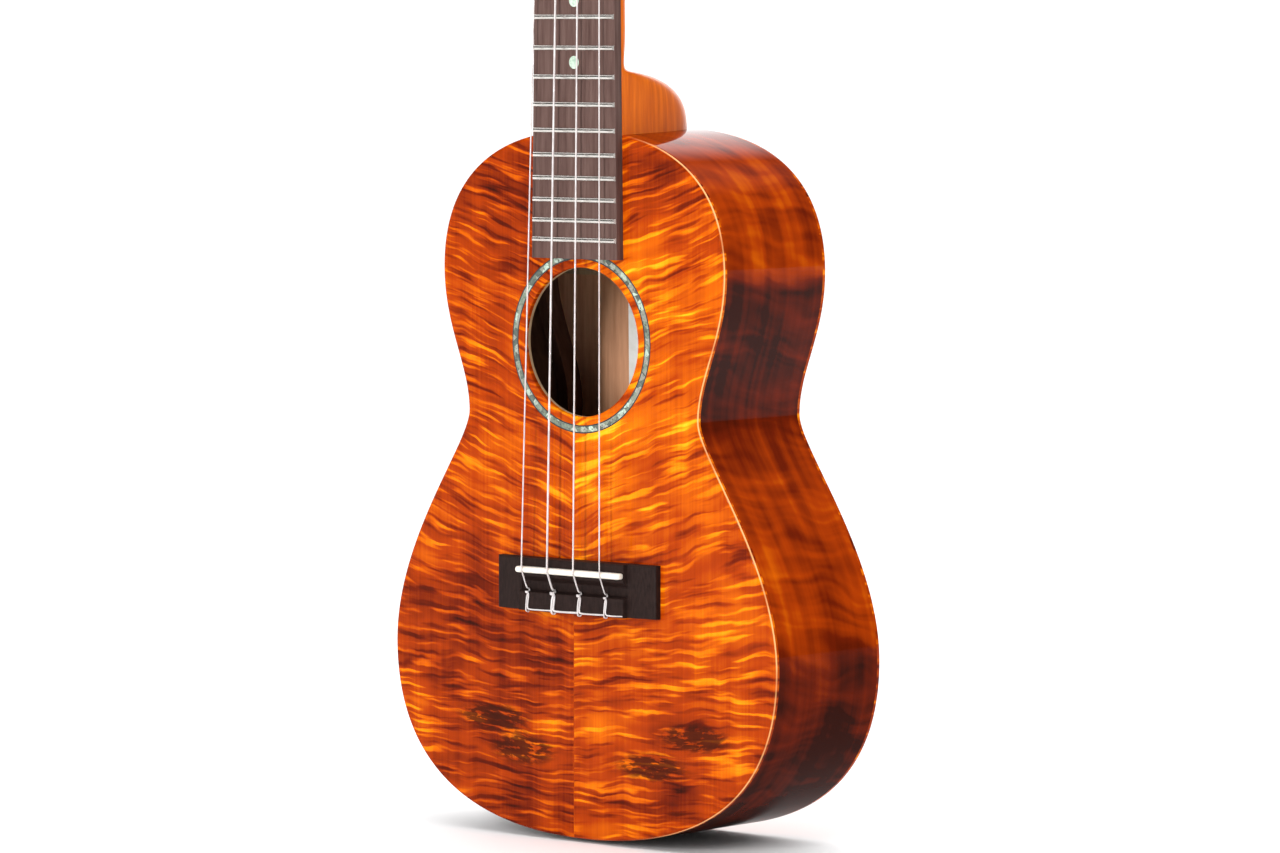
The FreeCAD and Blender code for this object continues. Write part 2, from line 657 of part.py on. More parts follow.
def neck_bolt():
    head_z = block_face_z() - WASHER_THICKNESS
    shank = Part.makeCylinder(BOLT_RADIUS, BODY_LENGTH + INSERT_LENGTH - BOLT_END_GAP - head_z,
                              V(0, BOLT_BEHIND_FACE, head_z))
    low = V(0, BOLT_BEHIND_FACE, head_z - BOLT_HEAD_HEIGHT)
    head = Part.makeCylinder(BOLT_HEAD_RADIUS, BOLT_HEAD_HEIGHT, low)
    corners = []
    for i in range(7):
        turn = math.radians(60 * i)
        corners.append(low + V(HEX_KEY_RADIUS * math.cos(turn), HEX_KEY_RADIUS * math.sin(turn), 0))
    key = Part.Face(Part.makePolygon(corners)).extrude(V(0, 0, BOLT_HEAD_HEIGHT / 2))
    return shank.fuse(head).removeSplitter().cut(key)


def neck_washer():
    low = block_face_z() - WASHER_THICKNESS
    plate = Part.makeCylinder(WASHER_RADIUS, WASHER_THICKNESS, V(0, BOLT_BEHIND_FACE, low))
    hole = Part.makeCylinder(BOLT_RADIUS + BOLT_CLEARANCE, WASHER_THICKNESS + 2,
                             V(0, BOLT_BEHIND_FACE, low - 1))
    return plate.cut(hole)


def headstock_veneer():
    face = head_slab(-VENEER_THICKNESS, VENEER_THICKNESS)
    for name, side, (x, up) in each_post():
        face = face.cut(disc((side * x, HEAD_Z + up), BUSHING_RADIUS, -VENEER_THICKNESS - 1, 1))
    return tilt(face)


# ---- fretboard ----

def fret_z(number):
    return BRIDGE_LINE + SCALE_LENGTH * 2 ** (-number / 12)


def fret_numbers():
    """Every fret that fits above the fretboard's end."""
    count = 1
    while fret_z(count + 1) > BOARD_END_Z + FRET_END_MARGIN:
        count += 1
    return range(1, count + 1)


def between_frets(number):
    return (fret_z(number) + fret_z(number - 1)) / 2


def fretboard():
    low = board_half_width(BOARD_END_Z)
    high = board_half_width(NUT_Z)
    board = extrude_y([(-low, BOARD_END_Z), (low, BOARD_END_Z), (high, NUT_Z), (-high, NUT_Z)],
                      -FRETBOARD_THICKNESS, 0)
    for number in fret_numbers():
        z = fret_z(number)
        board = board.cut(box((-FAR, -FAR, z - TANG_WIDTH / 2),
                              (FAR, TANG_DEPTH - FRETBOARD_THICKNESS, z + TANG_WIDTH / 2)))
    return board.cut(fret_dots()).cut(side_dots())


def frets():
    wires = []
    for number in fret_numbers():
        z = fret_z(number)
        half = board_half_width(z) - FRET_END_INSET
        foot = -FRETBOARD_THICKNESS
        crown = Part.Arc(V(-half, foot, z - FRET_WIDTH / 2), V(-half, foot - FRET_CROWN, z),
                         V(-half, foot, z + FRET_WIDTH / 2)).toShape()
        base = Part.makeLine(V(-half, foot, z + FRET_WIDTH / 2), V(-half, foot, z - FRET_WIDTH / 2))
        bead = Part.Face(Part.Wire([crown, base])).extrude(V(2 * half, 0, 0))
        tang = box((-half, foot, z - TANG_WIDTH / 2 + PRESS_CLEARANCE),
                   (half, foot + TANG_DEPTH - PRESS_CLEARANCE, z + TANG_WIDTH / 2 - PRESS_CLEARANCE))
        wires.append(bead.fuse(tang).removeSplitter())
    return Part.makeCompound(wires)


def fret_dots():
    face = -FRETBOARD_THICKNESS
    dots = [disc((0, between_frets(n)), DOT_RADIUS, face, face + DOT_DEPTH) for n in DOT_FRETS]
    return Part.makeCompound(dots)


def side_dots():
    """Small dots in the bass edge, for the player's eye."""
    dots = []
    for number in DOT_FRETS:
        z = between_frets(number)
        edge = -board_half_width(z)
        dots.append(bar_along_x(SIDE_DOT_RADIUS, edge + SIDE_DOT_RECESS, edge + SIDE_DOT_DEPTH,
                                -FRETBOARD_THICKNESS / 2, z))
    return Part.makeCompound(dots)


def nut():
    half = board_half_width(NUT_Z) - NUT_INSET
    slope = NUT_THICKNESS * math.tan(math.radians(HEAD_ANGLE))
    body = extrude_x([(0, NUT_Z), (-NUT_TOP + NUT_BEVEL, NUT_Z), (-NUT_TOP, NUT_Z + NUT_BEVEL),
                      (-NUT_TOP + slope / 2, HEAD_Z), (0, HEAD_Z)], -half, half)
    for index, radius in enumerate(STRING_RADII):
        x = string_x(index, NUT_SPREAD)
        wide = radius + SLOT_CLEARANCE
        floor = -NUT_TOP + SLOT_DEPTH
        body = body.cut(box((x - wide, -FAR, NUT_Z - 1), (x + wide, floor, HEAD_Z + 1)))
    return body


# ---- bridge ----

def bridge():
    low, high = BRIDGE_LOW_Z, BRIDGE_TOP_Z
    valley_low = low + TIE_BLOCK_WIDTH
    valley_high = valley_low + VALLEY_WIDTH
    ridge_low = SADDLE_Z - SADDLE_THICKNESS / 2 - RIDGE_LIP
    block = extrude_x([(0, low), (-BRIDGE_HEIGHT + BRIDGE_REAR_BEVEL, low),
                       (-BRIDGE_HEIGHT, low + BRIDGE_REAR_BEVEL),
                       (-BRIDGE_HEIGHT, valley_low - TIE_BLOCK_SLOPE),
                       (-VALLEY_HEIGHT, valley_low), (-VALLEY_HEIGHT, valley_high),
                       (-BRIDGE_HEIGHT, ridge_low), (-BRIDGE_HEIGHT, high - BRIDGE_FRONT_BEVEL),
                       (-BRIDGE_HEIGHT + BRIDGE_FRONT_BEVEL, high), (0, high)],
                      -BLOCK_HALF_LENGTH, BLOCK_HALF_LENGTH)
    profile = [(-BRIDGE_HALF_LENGTH, 0), (BRIDGE_HALF_LENGTH, 0), (BRIDGE_HALF_LENGTH, -WING_END_HEIGHT),
               (BLOCK_HALF_LENGTH, -WING_HEIGHT), (-BLOCK_HALF_LENGTH, -WING_HEIGHT),
               (-BRIDGE_HALF_LENGTH, -WING_END_HEIGHT)]
    points = [V(x, y, low) for x, y in profile]
    wings = Part.Face(Part.makePolygon(points + points[:1])).extrude(V(0, 0, high - low))
    channel = box((-BLOCK_HALF_LENGTH, -FAR, valley_low), (BLOCK_HALF_LENGTH, -VALLEY_HEIGHT, valley_high))
    whole = wings.cut(channel).fuse(block).removeSplitter()
    slot_half = SADDLE_HALF_LENGTH + SADDLE_CLEARANCE
    slot_wide = SADDLE_THICKNESS / 2 + SADDLE_CLEARANCE
    whole = whole.cut(box((-slot_half, -FAR, SADDLE_Z - slot_wide), (slot_half, -SADDLE_SLOT_FLOOR,
                                                                    SADDLE_Z + slot_wide)))
    for index in range(len(STRING_RADII)):
        mouth = V(saddle_x(index), -TIE_HOLE_HEIGHT, low - 1)
        whole = whole.cut(Part.makeCylinder(TIE_HOLE_RADIUS, TIE_BLOCK_WIDTH + 2, mouth))
    return whole


def saddle():
    half = SADDLE_HALF_LENGTH
    wide = SADDLE_THICKNESS / 2
    side_top = -SADDLE_HEIGHT + wide
    floor = -SADDLE_SLOT_FLOOR - SADDLE_CLEARANCE
    crown = Part.Arc(V(-half, side_top, SADDLE_Z - wide), V(-half, -SADDLE_HEIGHT, SADDLE_Z),
                     V(-half, side_top, SADDLE_Z + wide)).toShape()
    sides = Part.makePolygon([V(-half, side_top, SADDLE_Z + wide), V(-half, floor, SADDLE_Z + wide),
                              V(-half, floor, SADDLE_Z - wide), V(-half, side_top, SADDLE_Z - wide)])
    return Part.Face(Part.Wire([crown] + sides.Edges)).extrude(V(2 * half, 0, 0))


# ---- strings ----

def string_x(index, spread):
    """Place of a string across the instrument where the outer strings are this far apart."""
    return spread * (index / (len(STRING_RADII) - 1) - 0.5)


def saddle_x(index):
    """Place of a string over the saddle and in its tie hole."""
    return string_x(index, SADDLE_SPREAD) + SADDLE_STRING_SHIFT


def round_corner(centre, radius, before, after):
    """Corner point of a cord that comes from one point, wraps a round edge and goes to the other."""
    corner = centre + V(0, -radius, 0)
    for pass_number in range(5):
        incoming = (corner - before).normalize()
        outgoing = (after - corner).normalize()
        outward = (incoming - outgoing).normalize()
        corner = centre + outward * (radius / math.cos(incoming.getAngle(outgoing) / 2))
    return corner


def round_cord(points, bends, radius):
    """Round cord through the points: straight runs joined by tangent arcs of the given radii."""
    edges = []
    start = points[0]
    for i in range(1, len(points) - 1):
        corner = points[i]
        before = (corner - points[i - 1]).normalize()
        after = (points[i + 1] - corner).normalize()
        half_turn = before.getAngle(after) / 2
        reach = bends[i - 1] * math.tan(half_turn)
        enter = corner - before * reach
        leave = corner + after * reach
        inward = (after - before).normalize()
        middle = corner + inward * (bends[i - 1] / math.cos(half_turn) - bends[i - 1])
        edges.append(Part.makeLine(start, enter))
        edges.append(Part.Arc(enter, middle, leave).toShape())
        start = leave
    edges.append(Part.makeLine(start, points[-1]))
    along = (points[1] - points[0]).normalize()
    section = Part.Wire([Part.Circle(points[0], along, radius).toShape()])
    return Part.Wire(edges).makePipeShell([section], True, False)


def winding_radius(radius):
    """Outside of the turns wound on a post."""
    return POST_WAIST_RADIUS + 2 * radius


def string_route(index):
    """Corner points and bend radii of a string, from its end on the tie block to its post."""
    name, side, (post_x, up) = each_post()[index]
    radius = STRING_RADII[index]
    x = saddle_x(index)
    back_x = x + TIE_RETURN
    low = BRIDGE_LOW_Z
    over = BRIDGE_HEIGHT + TIE_STANDOFF
    behind = low - TIE_BEHIND
    crown = SADDLE_THICKNESS / 2
    crown_bend = crown + radius + STRING_GAP
    hole_mouth = V(x, -TIE_HOLE_HEIGHT, low + TIE_BLOCK_WIDTH + TIE_MOUTH)
    nut_y = -NUT_TOP + SLOT_DEPTH - radius - STRING_GAP
    nut_x = string_x(index, NUT_SPREAD)
    tangent_x = side * (post_x - winding_radius(radius) - radius - WINDING_GAP)
    wound = WINDING_HEIGHT + VENEER_THICKNESS + WINDING_TURNS * radius
    over_nut = V(nut_x, nut_y, HEAD_Z + NUT_OVERHANG)
    over_saddle = round_corner(V(x, crown - SADDLE_HEIGHT, SADDLE_Z), crown_bend, hole_mouth, over_nut)
    points = [
        V(back_x, -over + STRING_END_DROP, low + TIE_BLOCK_WIDTH + STRING_END_BEYOND),
        V(back_x, -over, low + TIE_BLOCK_WIDTH - STRING_END_REACH),
        V(back_x, -over, behind),
        V(x, -TIE_HOLE_HEIGHT, behind),
        hole_mouth,
        over_saddle,
        over_nut,
        head_place(tangent_x, -wound, up),
    ]
    return points, [STRING_END_BEND, TIE_BEND, TIE_BEND, TIE_BEND, crown_bend, NUT_BEND]


def string(index):
    points, bends = string_route(index)
    return round_cord(points, bends, STRING_RADII[index])


# ---- tuners, drawn on an upright headstock: y = 0 is its wooden front, z is up from HEAD_Z ----

def screw_z(up):
    """Height of a tuner's fixing screw: on the plate's ear, below the post."""
    return HEAD_Z + up - WHEEL_RADIUS - HOUSING_CLEARANCE - COVER_WALL - EAR_LENGTH / 2


def housing_box(side, x, up, margin, y_from, y_to):
    """Block round a wheel and its worm, with this margin outside them."""
    inner = side * (x - WHEEL_RADIUS - margin)
    outer = side * (x + WHEEL_RADIUS + margin)
    low = HEAD_Z + up - WHEEL_RADIUS - margin
    high = HEAD_Z + up + GEAR_CENTRES + WORM_RADIUS + margin
    return box((min(inner, outer), y_from, low), (max(inner, outer), y_to, high))


def gear_reach():
    """The wheel's and the worm's reach to each side of their middle plane, with clearance."""
    return max(WHEEL_THICKNESS / 2, WORM_RADIUS) + HOUSING_CLEARANCE


def wheel_mid_y():
    return HEAD_THICKNESS + PLATE_THICKNESS + gear_reach()


def tuner_plates():
    plates = []
    for name, side, (x, up) in each_post():
        margin = HOUSING_CLEARANCE + COVER_WALL
        y_to = HEAD_THICKNESS + PLATE_THICKNESS
        plate = housing_box(side, x, up, margin, HEAD_THICKNESS, y_to)
        ear_z = screw_z(up)
        ear = box((side * x - EAR_LENGTH / 2, HEAD_THICKNESS, ear_z), (side * x + EAR_LENGTH / 2, y_to,
                                                                      HEAD_Z + up))
        ear = ear.fuse(disc((side * x, ear_z), EAR_LENGTH / 2, HEAD_THICKNESS, y_to))
        plate = plate.fuse(ear).removeSplitter()
        plate = plate.cut(disc((side * x, HEAD_Z + up), POST_RADIUS + RUN_CLEARANCE, 0, y_to + 1))
        plate = plate.cut(disc((side * x, ear_z), SCREW_RADIUS + BOLT_CLEARANCE, 0, y_to + 1))
        plates.append(tilt(plate))
    return Part.makeCompound(plates)


def tuner_covers():
    covers = []
    for name, side, (x, up) in each_post():
        y_from = HEAD_THICKNESS + PLATE_THICKNESS
        y_to = y_from + 2 * gear_reach() + COVER_WALL
        cover = housing_box(side, x, up, HOUSING_CLEARANCE + COVER_WALL, y_from, y_to)
        back_edges = [e for e in cover.Edges if e.BoundBox.YMin > y_to - 0.01]
        cover = cover.makeFillet(COVER_WALL, back_edges)
        cover = cover.cut(housing_box(side, x, up, HOUSING_CLEARANCE, y_from - 1, y_to - COVER_WALL))
        cover = cover.cut(bar_along_x(SHAFT_RADIUS + RUN_CLEARANCE, side * x, side * FAR, wheel_mid_y(),
                                      HEAD_Z + up + GEAR_CENTRES))
        covers.append(tilt(cover))
    return Part.makeCompound(covers)


def tuner_screws():
    screws = []
    for name, side, (x, up) in each_post():
        place = (side * x, screw_z(up))
        seat = HEAD_THICKNESS + PLATE_THICKNESS
        tip = HEAD_THICKNESS - SCREW_LENGTH + SCREW_TIP_GAP
        shank = disc(place, SCREW_RADIUS - PRESS_CLEARANCE, tip, seat)
        head = disc(place, SCREW_HEAD_RADIUS, seat, seat + SCREW_HEAD_HEIGHT)
        floor = seat + SCREW_HEAD_HEIGHT / 2
        wide, long = SCREW_SLOT_WIDTH / 2, SCREW_SLOT_LENGTH / 2
        slot = box((place[0] - wide, floor, place[1] - long), (place[0] + wide, FAR, place[1] + long))
        cross = box((place[0] - long, floor, place[1] - wide), (place[0] + long, FAR, place[1] + wide))
        screws.append(tilt(shank.fuse(head).removeSplitter().cut(slot).cut(cross)))
    return Part.makeCompound(screws)


def tuner_bushings():
    """Threaded sleeves with six-sided heads, from the front, in which the posts turn."""
    bushings = []
    for name, side, (x, up) in each_post():
        centre = (side * x, HEAD_Z + up)
        face = -VENEER_THICKNESS
        sleeve = disc(centre, BUSHING_RADIUS - PRESS_CLEARANCE, face, HEAD_THICKNESS - 1)
        corners = [(centre[0] + BUSHING_HEAD_RADIUS * math.cos(math.radians(60 * i)),
                    centre[1] + BUSHING_HEAD_RADIUS * math.sin(math.radians(60 * i))) for i in range(6)]
        head = extrude_y(corners, face - BUSHING_HEAD_HEIGHT, face)
        bore = disc(centre, POST_RADIUS + RUN_CLEARANCE, face - BUSHING_HEAD_HEIGHT - 1, HEAD_THICKNESS)
        bushings.append(tilt(sleeve.fuse(head).removeSplitter().cut(bore)))
    return Part.makeCompound(bushings)


def string_post(index):
    """Post with its waist, string hole and the turns of string wound on it."""
    name, side, (x, up) = each_post()[index]
    radius = STRING_RADII[index]
    face = -VENEER_THICKNESS
    top = face - POST_HEIGHT
    wound_low = face - WINDING_HEIGHT + radius
    wound_high = wound_low - 2 * radius * WINDING_TURNS
    waist_high = wound_high - WAIST_ABOVE_WINDING
    seat = wheel_mid_y() - WHEEL_THICKNESS / 2
    end = wheel_mid_y() + WHEEL_THICKNESS / 2
    centre = V(side * x, 0, HEAD_Z + up)
    ridge = POST_WAIST_RADIUS + radius

    def at(r, y):
        return centre + V(r, y, 0)

    turns = []
    for turn in range(WINDING_TURNS):
        y = wound_low - 2 * radius * turn
        crest = at(ridge + radius, y - radius)
        turns.append(Part.Arc(at(ridge, y), crest, at(ridge, y - 2 * radius)).toShape())
    below = Part.makePolygon([at(ridge, wound_low), at(POST_RADIUS, wound_low), at(POST_RADIUS, seat),
                              at(WHEEL_SEAT_RADIUS, seat), at(WHEEL_SEAT_RADIUS, end), at(0, end)])
    above = Part.makePolygon([at(ridge, wound_high), at(POST_WAIST_RADIUS, wound_high),
                              at(POST_WAIST_RADIUS, waist_high), at(POST_RADIUS, waist_high - POST_CHAMFER),
                              at(POST_RADIUS, top + POST_CHAMFER), at(POST_RADIUS - POST_CHAMFER, top),
                              at(0, top)])
    axis = Part.makeLine(at(0, end), at(0, top))
    outline = Part.Wire(Part.__sortEdges__(below.Edges + turns + above.Edges + [axis]))
    post = Part.Face(outline).revolve(centre, V(0, 1, 0), 360)
    hole = Part.makeCylinder(STRING_HOLE_RADIUS, 4 * POST_RADIUS,
                             at(0, wound_high - WAIST_ABOVE_WINDING / 2) - V(0, 0, 2 * POST_RADIUS))
    return tilt(post.cut(hole))


def worm_wheel(index):
    name, side, (x, up) = each_post()[index]
    mid = wheel_mid_y()
    wheel = ring((side * x, HEAD_Z + up), WHEEL_SEAT_RADIUS + PRESS_CLEARANCE, WHEEL_RADIUS,
                 mid - WHEEL_THICKNESS / 2, mid + WHEEL_THICKNESS / 2)
    return tilt(wheel)


def button_start():
    return HEAD_HALF_WIDTH_TOP + BUTTON_BEYOND_HEAD


def worm_shaft(index):
    name, side, (x, up) = each_post()[index]
    mid = wheel_mid_y()
    z = HEAD_Z + up + GEAR_CENTRES
    worm = bar_along_x(WORM_RADIUS, side * (x - WORM_HALF_LENGTH), side * (x + WORM_HALF_LENGTH), mid, z)
    shaft = bar_along_x(SHAFT_RADIUS, side * x, side * (button_start() + BUTTON_GRIP), mid, z)
    return tilt(worm.fuse(shaft).removeSplitter())


def button(index):
    """Rounded grip pressed on the end of the worm shaft."""
    name, side, (x, up) = each_post()[index]
    mid = wheel_mid_y()
    z = HEAD_Z + up + GEAR_CENTRES
    centre = side * (button_start() + BUTTON_LENGTH / 2)
    bore_end = side * (button_start() + BUTTON_GRIP + BUTTON_BORE_GAP)
    bore = bar_along_x(SHAFT_RADIUS + PRESS_CLEARANCE, side * x, bore_end, mid, z)
    return tilt(button_solid(centre, mid, z).cut(bore))


def button_solid(centre, mid, z):
    """Oval pad, wider across the shaft than along it, with rounded rims."""
    foot = V(0, -BUTTON_THICKNESS / 2, 0)
    pad = Part.makeCylinder(BUTTON_WIDTH / 2, BUTTON_THICKNESS, foot, V(0, 1, 0))
    pad = pad.makeFillet(BUTTON_ROUNDING, [e for e in pad.Edges if e.Closed])
    squash = FreeCAD.Matrix()
    squash.scale(BUTTON_LENGTH / BUTTON_WIDTH, 1, 1)
    pad = pad.transformGeometry(squash)
    pad.translate(V(centre, mid, z))
    return pad


def save(name, shape):
    shape.translate(V(0, FACE_Y, 0))
    shape.exportStep("parts/%s.step" % name)


def build():
    os.makedirs("parts", exist_ok=True)
    save("soundboard_bass", soundboard(-1))
    save("soundboard_treble", soundboard(1))
    save("back_bass", back(-1))
    save("back_treble", back(1))
    save("rib_bass", rib(-1))
    save("rib_treble", rib(1))
    save("top_linings", top_linings())
    save("back_linings", back_linings())
    save("neck_block", neck_block())
    save("tail_block", tail_block())
    save("upper_cross_brace", upper_cross_brace())
    save("lower_cross_brace", lower_cross_brace())
    save("fan_braces", fan_braces())
    save("bridge_plate", bridge_plate())
    save("soundhole_patch", soundhole_patch())
    save("back_braces", back_braces())
    save("back_seam_strip", back_seam_strip())
    save("blank_label", blank_label())
    save("rosette_inner_line", rosette_band(0, ROSETTE_LINE_WIDTH))
    save("rosette_shell", rosette_band(ROSETTE_LINE_WIDTH, ROSETTE_SHELL_WIDTH))
    save("rosette_outer_line", rosette_band(ROSETTE_LINE_WIDTH + ROSETTE_SHELL_WIDTH, ROSETTE_LINE_WIDTH))
    save("neck", neck())
    save("neck_insert", neck_insert())
    save("neck_bolt", neck_bolt())
    save("neck_washer", neck_washer())
    save("headstock_veneer", headstock_veneer())
    save("fretboard", fretboard())
    save("frets", frets())
    save("fret_dots", fret_dots())
    save("side_dots", side_dots())
    save("nut", nut())
    save("bridge", bridge())
    save("saddle", saddle())
    save("tuner_plates", tuner_plates())
    save("tuner_covers", tuner_covers())
    save("tuner_screws", tuner_screws())
    save("tuner_bushings", tuner_bushings())
    for index, name in enumerate(STRING_NAMES):
        save("string_" + name, string(index))
        save("post_" + name, string_post(index))
        save("worm_wheel_" + name, worm_wheel(index))
        save("worm_shaft_" + name, worm_shaft(index))
        save("button_" + name, button(index))


def report_joints():
    """Prints where each post and key turns, in metres, for the record."""
    lean = math.radians(HEAD_ANGLE)
    for name, side, (x, up) in each_post():
        post = head_place(side * x, 0, up) + V(0, FACE_Y, 0)
        key = head_place(side * x, wheel_mid_y(), up + GEAR_CENTRES) + V(0, FACE_Y, 0)
        axis = [0, round(-math.cos(lean), 9), round(math.sin(lean), 9)]
        places = [[round(c / 1000, 7) for c in place] for place in (post, key)]
        print(name, "post", places[0], axis, "key", places[1], [side, 0, 0], "ratio", side, "/", WHEEL_TEETH)


build()
report_joints()
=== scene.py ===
"""Concert ukulele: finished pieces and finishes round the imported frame.

Metres, in the frame's own axes: +Z runs up the neck, -Y is the front and +X is the treble side.
"""

import json
import math

import bmesh
import bpy
import numpy as np
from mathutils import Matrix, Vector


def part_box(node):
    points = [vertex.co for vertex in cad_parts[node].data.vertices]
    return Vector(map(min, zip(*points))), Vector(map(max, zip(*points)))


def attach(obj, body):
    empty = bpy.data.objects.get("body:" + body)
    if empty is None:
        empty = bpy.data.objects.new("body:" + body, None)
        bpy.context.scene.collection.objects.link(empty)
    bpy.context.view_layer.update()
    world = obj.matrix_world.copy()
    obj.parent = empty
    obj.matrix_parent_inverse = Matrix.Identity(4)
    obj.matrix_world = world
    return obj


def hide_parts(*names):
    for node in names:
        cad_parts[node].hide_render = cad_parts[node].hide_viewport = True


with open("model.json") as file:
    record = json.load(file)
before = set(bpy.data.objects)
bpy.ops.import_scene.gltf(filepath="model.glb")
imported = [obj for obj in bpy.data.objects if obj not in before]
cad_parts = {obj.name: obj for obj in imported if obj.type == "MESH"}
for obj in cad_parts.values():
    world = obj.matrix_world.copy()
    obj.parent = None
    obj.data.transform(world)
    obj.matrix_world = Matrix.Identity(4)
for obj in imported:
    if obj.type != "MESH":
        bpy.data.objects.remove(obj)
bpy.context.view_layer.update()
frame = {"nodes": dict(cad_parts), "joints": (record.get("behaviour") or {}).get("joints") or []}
MM = 0.001
BODY = "instrument"
STRINGS = ["g", "c", "e", "a"]  # from the bass side
STRING_RADII = dict(g=0.30 * MM, c=0.42 * MM, e=0.35 * MM, a=0.28 * MM)

# ---- places and sizes taken from the frame ----
SHELL_LOW, SHELL_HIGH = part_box("rosette_shell")
FACE_Y = SHELL_LOW.y  # outer face of the soundboard
HOLE = (SHELL_LOW + SHELL_HIGH) / 2
TOP_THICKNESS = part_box("soundboard_treble")[1].y - FACE_Y
BODY_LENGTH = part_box("rib_treble")[1].z
BACK_AT_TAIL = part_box("back_treble")[1].y
BOARD_LOW, BOARD_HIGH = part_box("fretboard")
NUT_LOW, NUT_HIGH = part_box("nut")
SADDLE_LOW, SADDLE_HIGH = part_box("saddle")
BRIDGE_LOW, BRIDGE_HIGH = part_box("bridge")
SEAM_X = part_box("soundboard_treble")[0].x
HEAD_Z = NUT_HIGH.z
JOINTS = {joint["name"]: joint for joint in frame["joints"]}

# ---- sizes of the finished pieces ----
HOLE_RADIUS = 29.2 * MM
RIB_THICKNESS = 2.0 * MM
BACK_THICKNESS = 2.2 * MM
BACK_LEAN = 3.2 / 278.0  # how far the back comes forward per unit of height
EDGE_ROUNDING = 1.1 * MM
# Poles of the four cubic curves of the body's treble half, (x, z) in millimetres from the tail
OUTLINE = [
    [(0, 0), (65.0, 0), (98.5, 26.0), (98.5, 72.3)],
    [(98.5, 72.3), (98.5, 113.6), (59.2, 153.3), (59.2, 166.4)],
    [(59.2, 166.4), (59.2, 184.0), (72.45, 198.7), (72.45, 223.3)],
    [(72.45, 223.3), (72.45, 259.3), (44.9, 278.0), (0, 278.0)],
]
NECK_DEPTH_AT_NUT = 12.6 * MM
NECK_DEPTH_AT_HEEL = 13.6 * MM
NECK_ROUNDNESS = 1.8
HEEL_DEPTH = 58.0 * MM
HEEL_HEIGHT = 23.5 * MM
HEEL_PROFILE_POWER = 2.5
HEEL_SQUARENESS = 3.5
HEEL_NARROWING = 0.4
HEAD_ANGLE = math.radians(12.0)
# Straight out of the headstock's face, and up along it
HEAD_OUT = np.array([0, -math.cos(HEAD_ANGLE), math.sin(HEAD_ANGLE)])
HEAD_UP = np.array([0, math.sin(HEAD_ANGLE), math.cos(HEAD_ANGLE)])
HEAD_THICKNESS = 12.0 * MM
VENEER = 1.5 * MM
HEAD_LENGTH = 116.0 * MM
INLAY_PROUD = 0.03 * MM
INLAY_DEPTH = 0.5 * MM
EDGE_MARGIN = 0.4 * MM  # flat strip between a rounded rim and the plate's blend
HOLE_LIP = 0.35 * MM  # rounding of the soundhole's edge
OUTLINE_STEPS = 400  # points on each of the outline's curves
HEEL_TURN = 76.0  # degrees of the heel's superellipse that are used
HEEL_BLEND = 17.0 * MM  # height of the hollow above the heel
HEEL_PULL = 14.0 * MM  # reach of the hollow's handle at the heel
SHAFT_PULL = 13.0 * MM  # and at the shaft
HEEL_FOLLOWS_EDGE = 20.0 * MM  # the heel's lowest stretch follows the body's upper edge
HEAD_BLEND = 28.0 * MM  # the shaft gets squarer over this height below the nut
NECK_END_GAP = 1.5 * MM

SCALE_LENGTH = 381.0 * MM
BRIDGE_LINE = NUT_LOW.z - SCALE_LENGTH
FRET_COUNT = 19
FRET_HEIGHT = 0.9 * MM
FRET_WIDTH = 2.0 * MM
FRET_END_GAP = 0.3 * MM
DOT_FRETS = [5, 7, 10, 12]
DOT_RADIUS = 2.5 * MM

BLOCK_HALF_WIDTH = 27.6 * MM  # the bridge's tie block
TIE_BLOCK_DEPTH = 8.0 * MM  # the block's front edge above the bridge's rear edge
VALLEY_DEPTH = 11.2 * MM  # where the valley starts to rise to the saddle's ridge
VALLEY_HEIGHT = 3.0 * MM
WING_HEIGHT = 4.0 * MM  # next to the block
WING_FALL = 1.0 * MM  # and how much less at the tips
TIE_HOLE_HEIGHT = 4.9 * MM
SADDLE_SPREAD = 40.4 * MM  # outer string to outer string
SADDLE_SHIFT = -2.4 * MM
NUT_SPREAD = 28.5 * MM
NUT_SLOT_DEPTH = 0.8 * MM
STRING_GAP = 0.05 * MM

POST_RADIUS = 3.0 * MM
POST_WAIST_RADIUS = 2.5 * MM
POST_HEIGHT = 15.5 * MM  # above the veneer
WINDING_HEIGHT = 5.2 * MM  # of the first turn above the veneer
WINDING_TURNS = 3


# ================= meshes =================

def shell(grid, wrap_rows=False, wrap_columns=False, caps=False):
    """Vertices and faces over a grid of points (rows, columns, 3).

    Row i meets row i + 1 and column j meets column j + 1; a wrapped direction also joins its last to its
    first. Caps close the two open ends of a tube with one face each.
    """
    grid = np.asarray(grid, float)
    rows, columns = grid.shape[:2]
    index = np.arange(rows * columns).reshape(rows, columns)
    down = np.roll(index, -1, axis=0) if wrap_rows else index[1:]
    here = index if wrap_rows else index[:-1]
    if wrap_columns:
        right, down_right = np.roll(here, -1, axis=1), np.roll(down, -1, axis=1)
    else:
        here, right = here[:, :-1], here[:, 1:]
        down, down_right = down[:, :-1], down[:, 1:]
    quads = np.stack([here, right, down_right, down], axis=-1).reshape(-1, 4)
    faces = quads.tolist()
    if caps and wrap_columns:
        faces += [index[0][::-1].tolist(), index[-1].tolist()]
    elif caps:
        faces += [index[:, 0].tolist(), index[:, -1][::-1].tolist()]
    points = grid.reshape(-1, 3)
    corners = points[quads]
    volume = np.einsum("ij,ij->", corners[:, 0] - points.mean(0),
                       np.cross(corners[:, 1] - corners[:, 0], corners[:, 2] - corners[:, 0])
                       + np.cross(corners[:, 2] - corners[:, 0], corners[:, 3] - corners[:, 0]))
    if volume < 0:
        faces = [face[::-1] for face in faces]
    return points, faces


def closed(rows):
    """Tube over rows of points, its two ends capped."""
    return shell(rows, wrap_columns=True, caps=True)


def full_turn(count):
    """Evenly spaced angles of one whole turn."""
    return np.linspace(0, 2 * math.pi, count, endpoint=False)


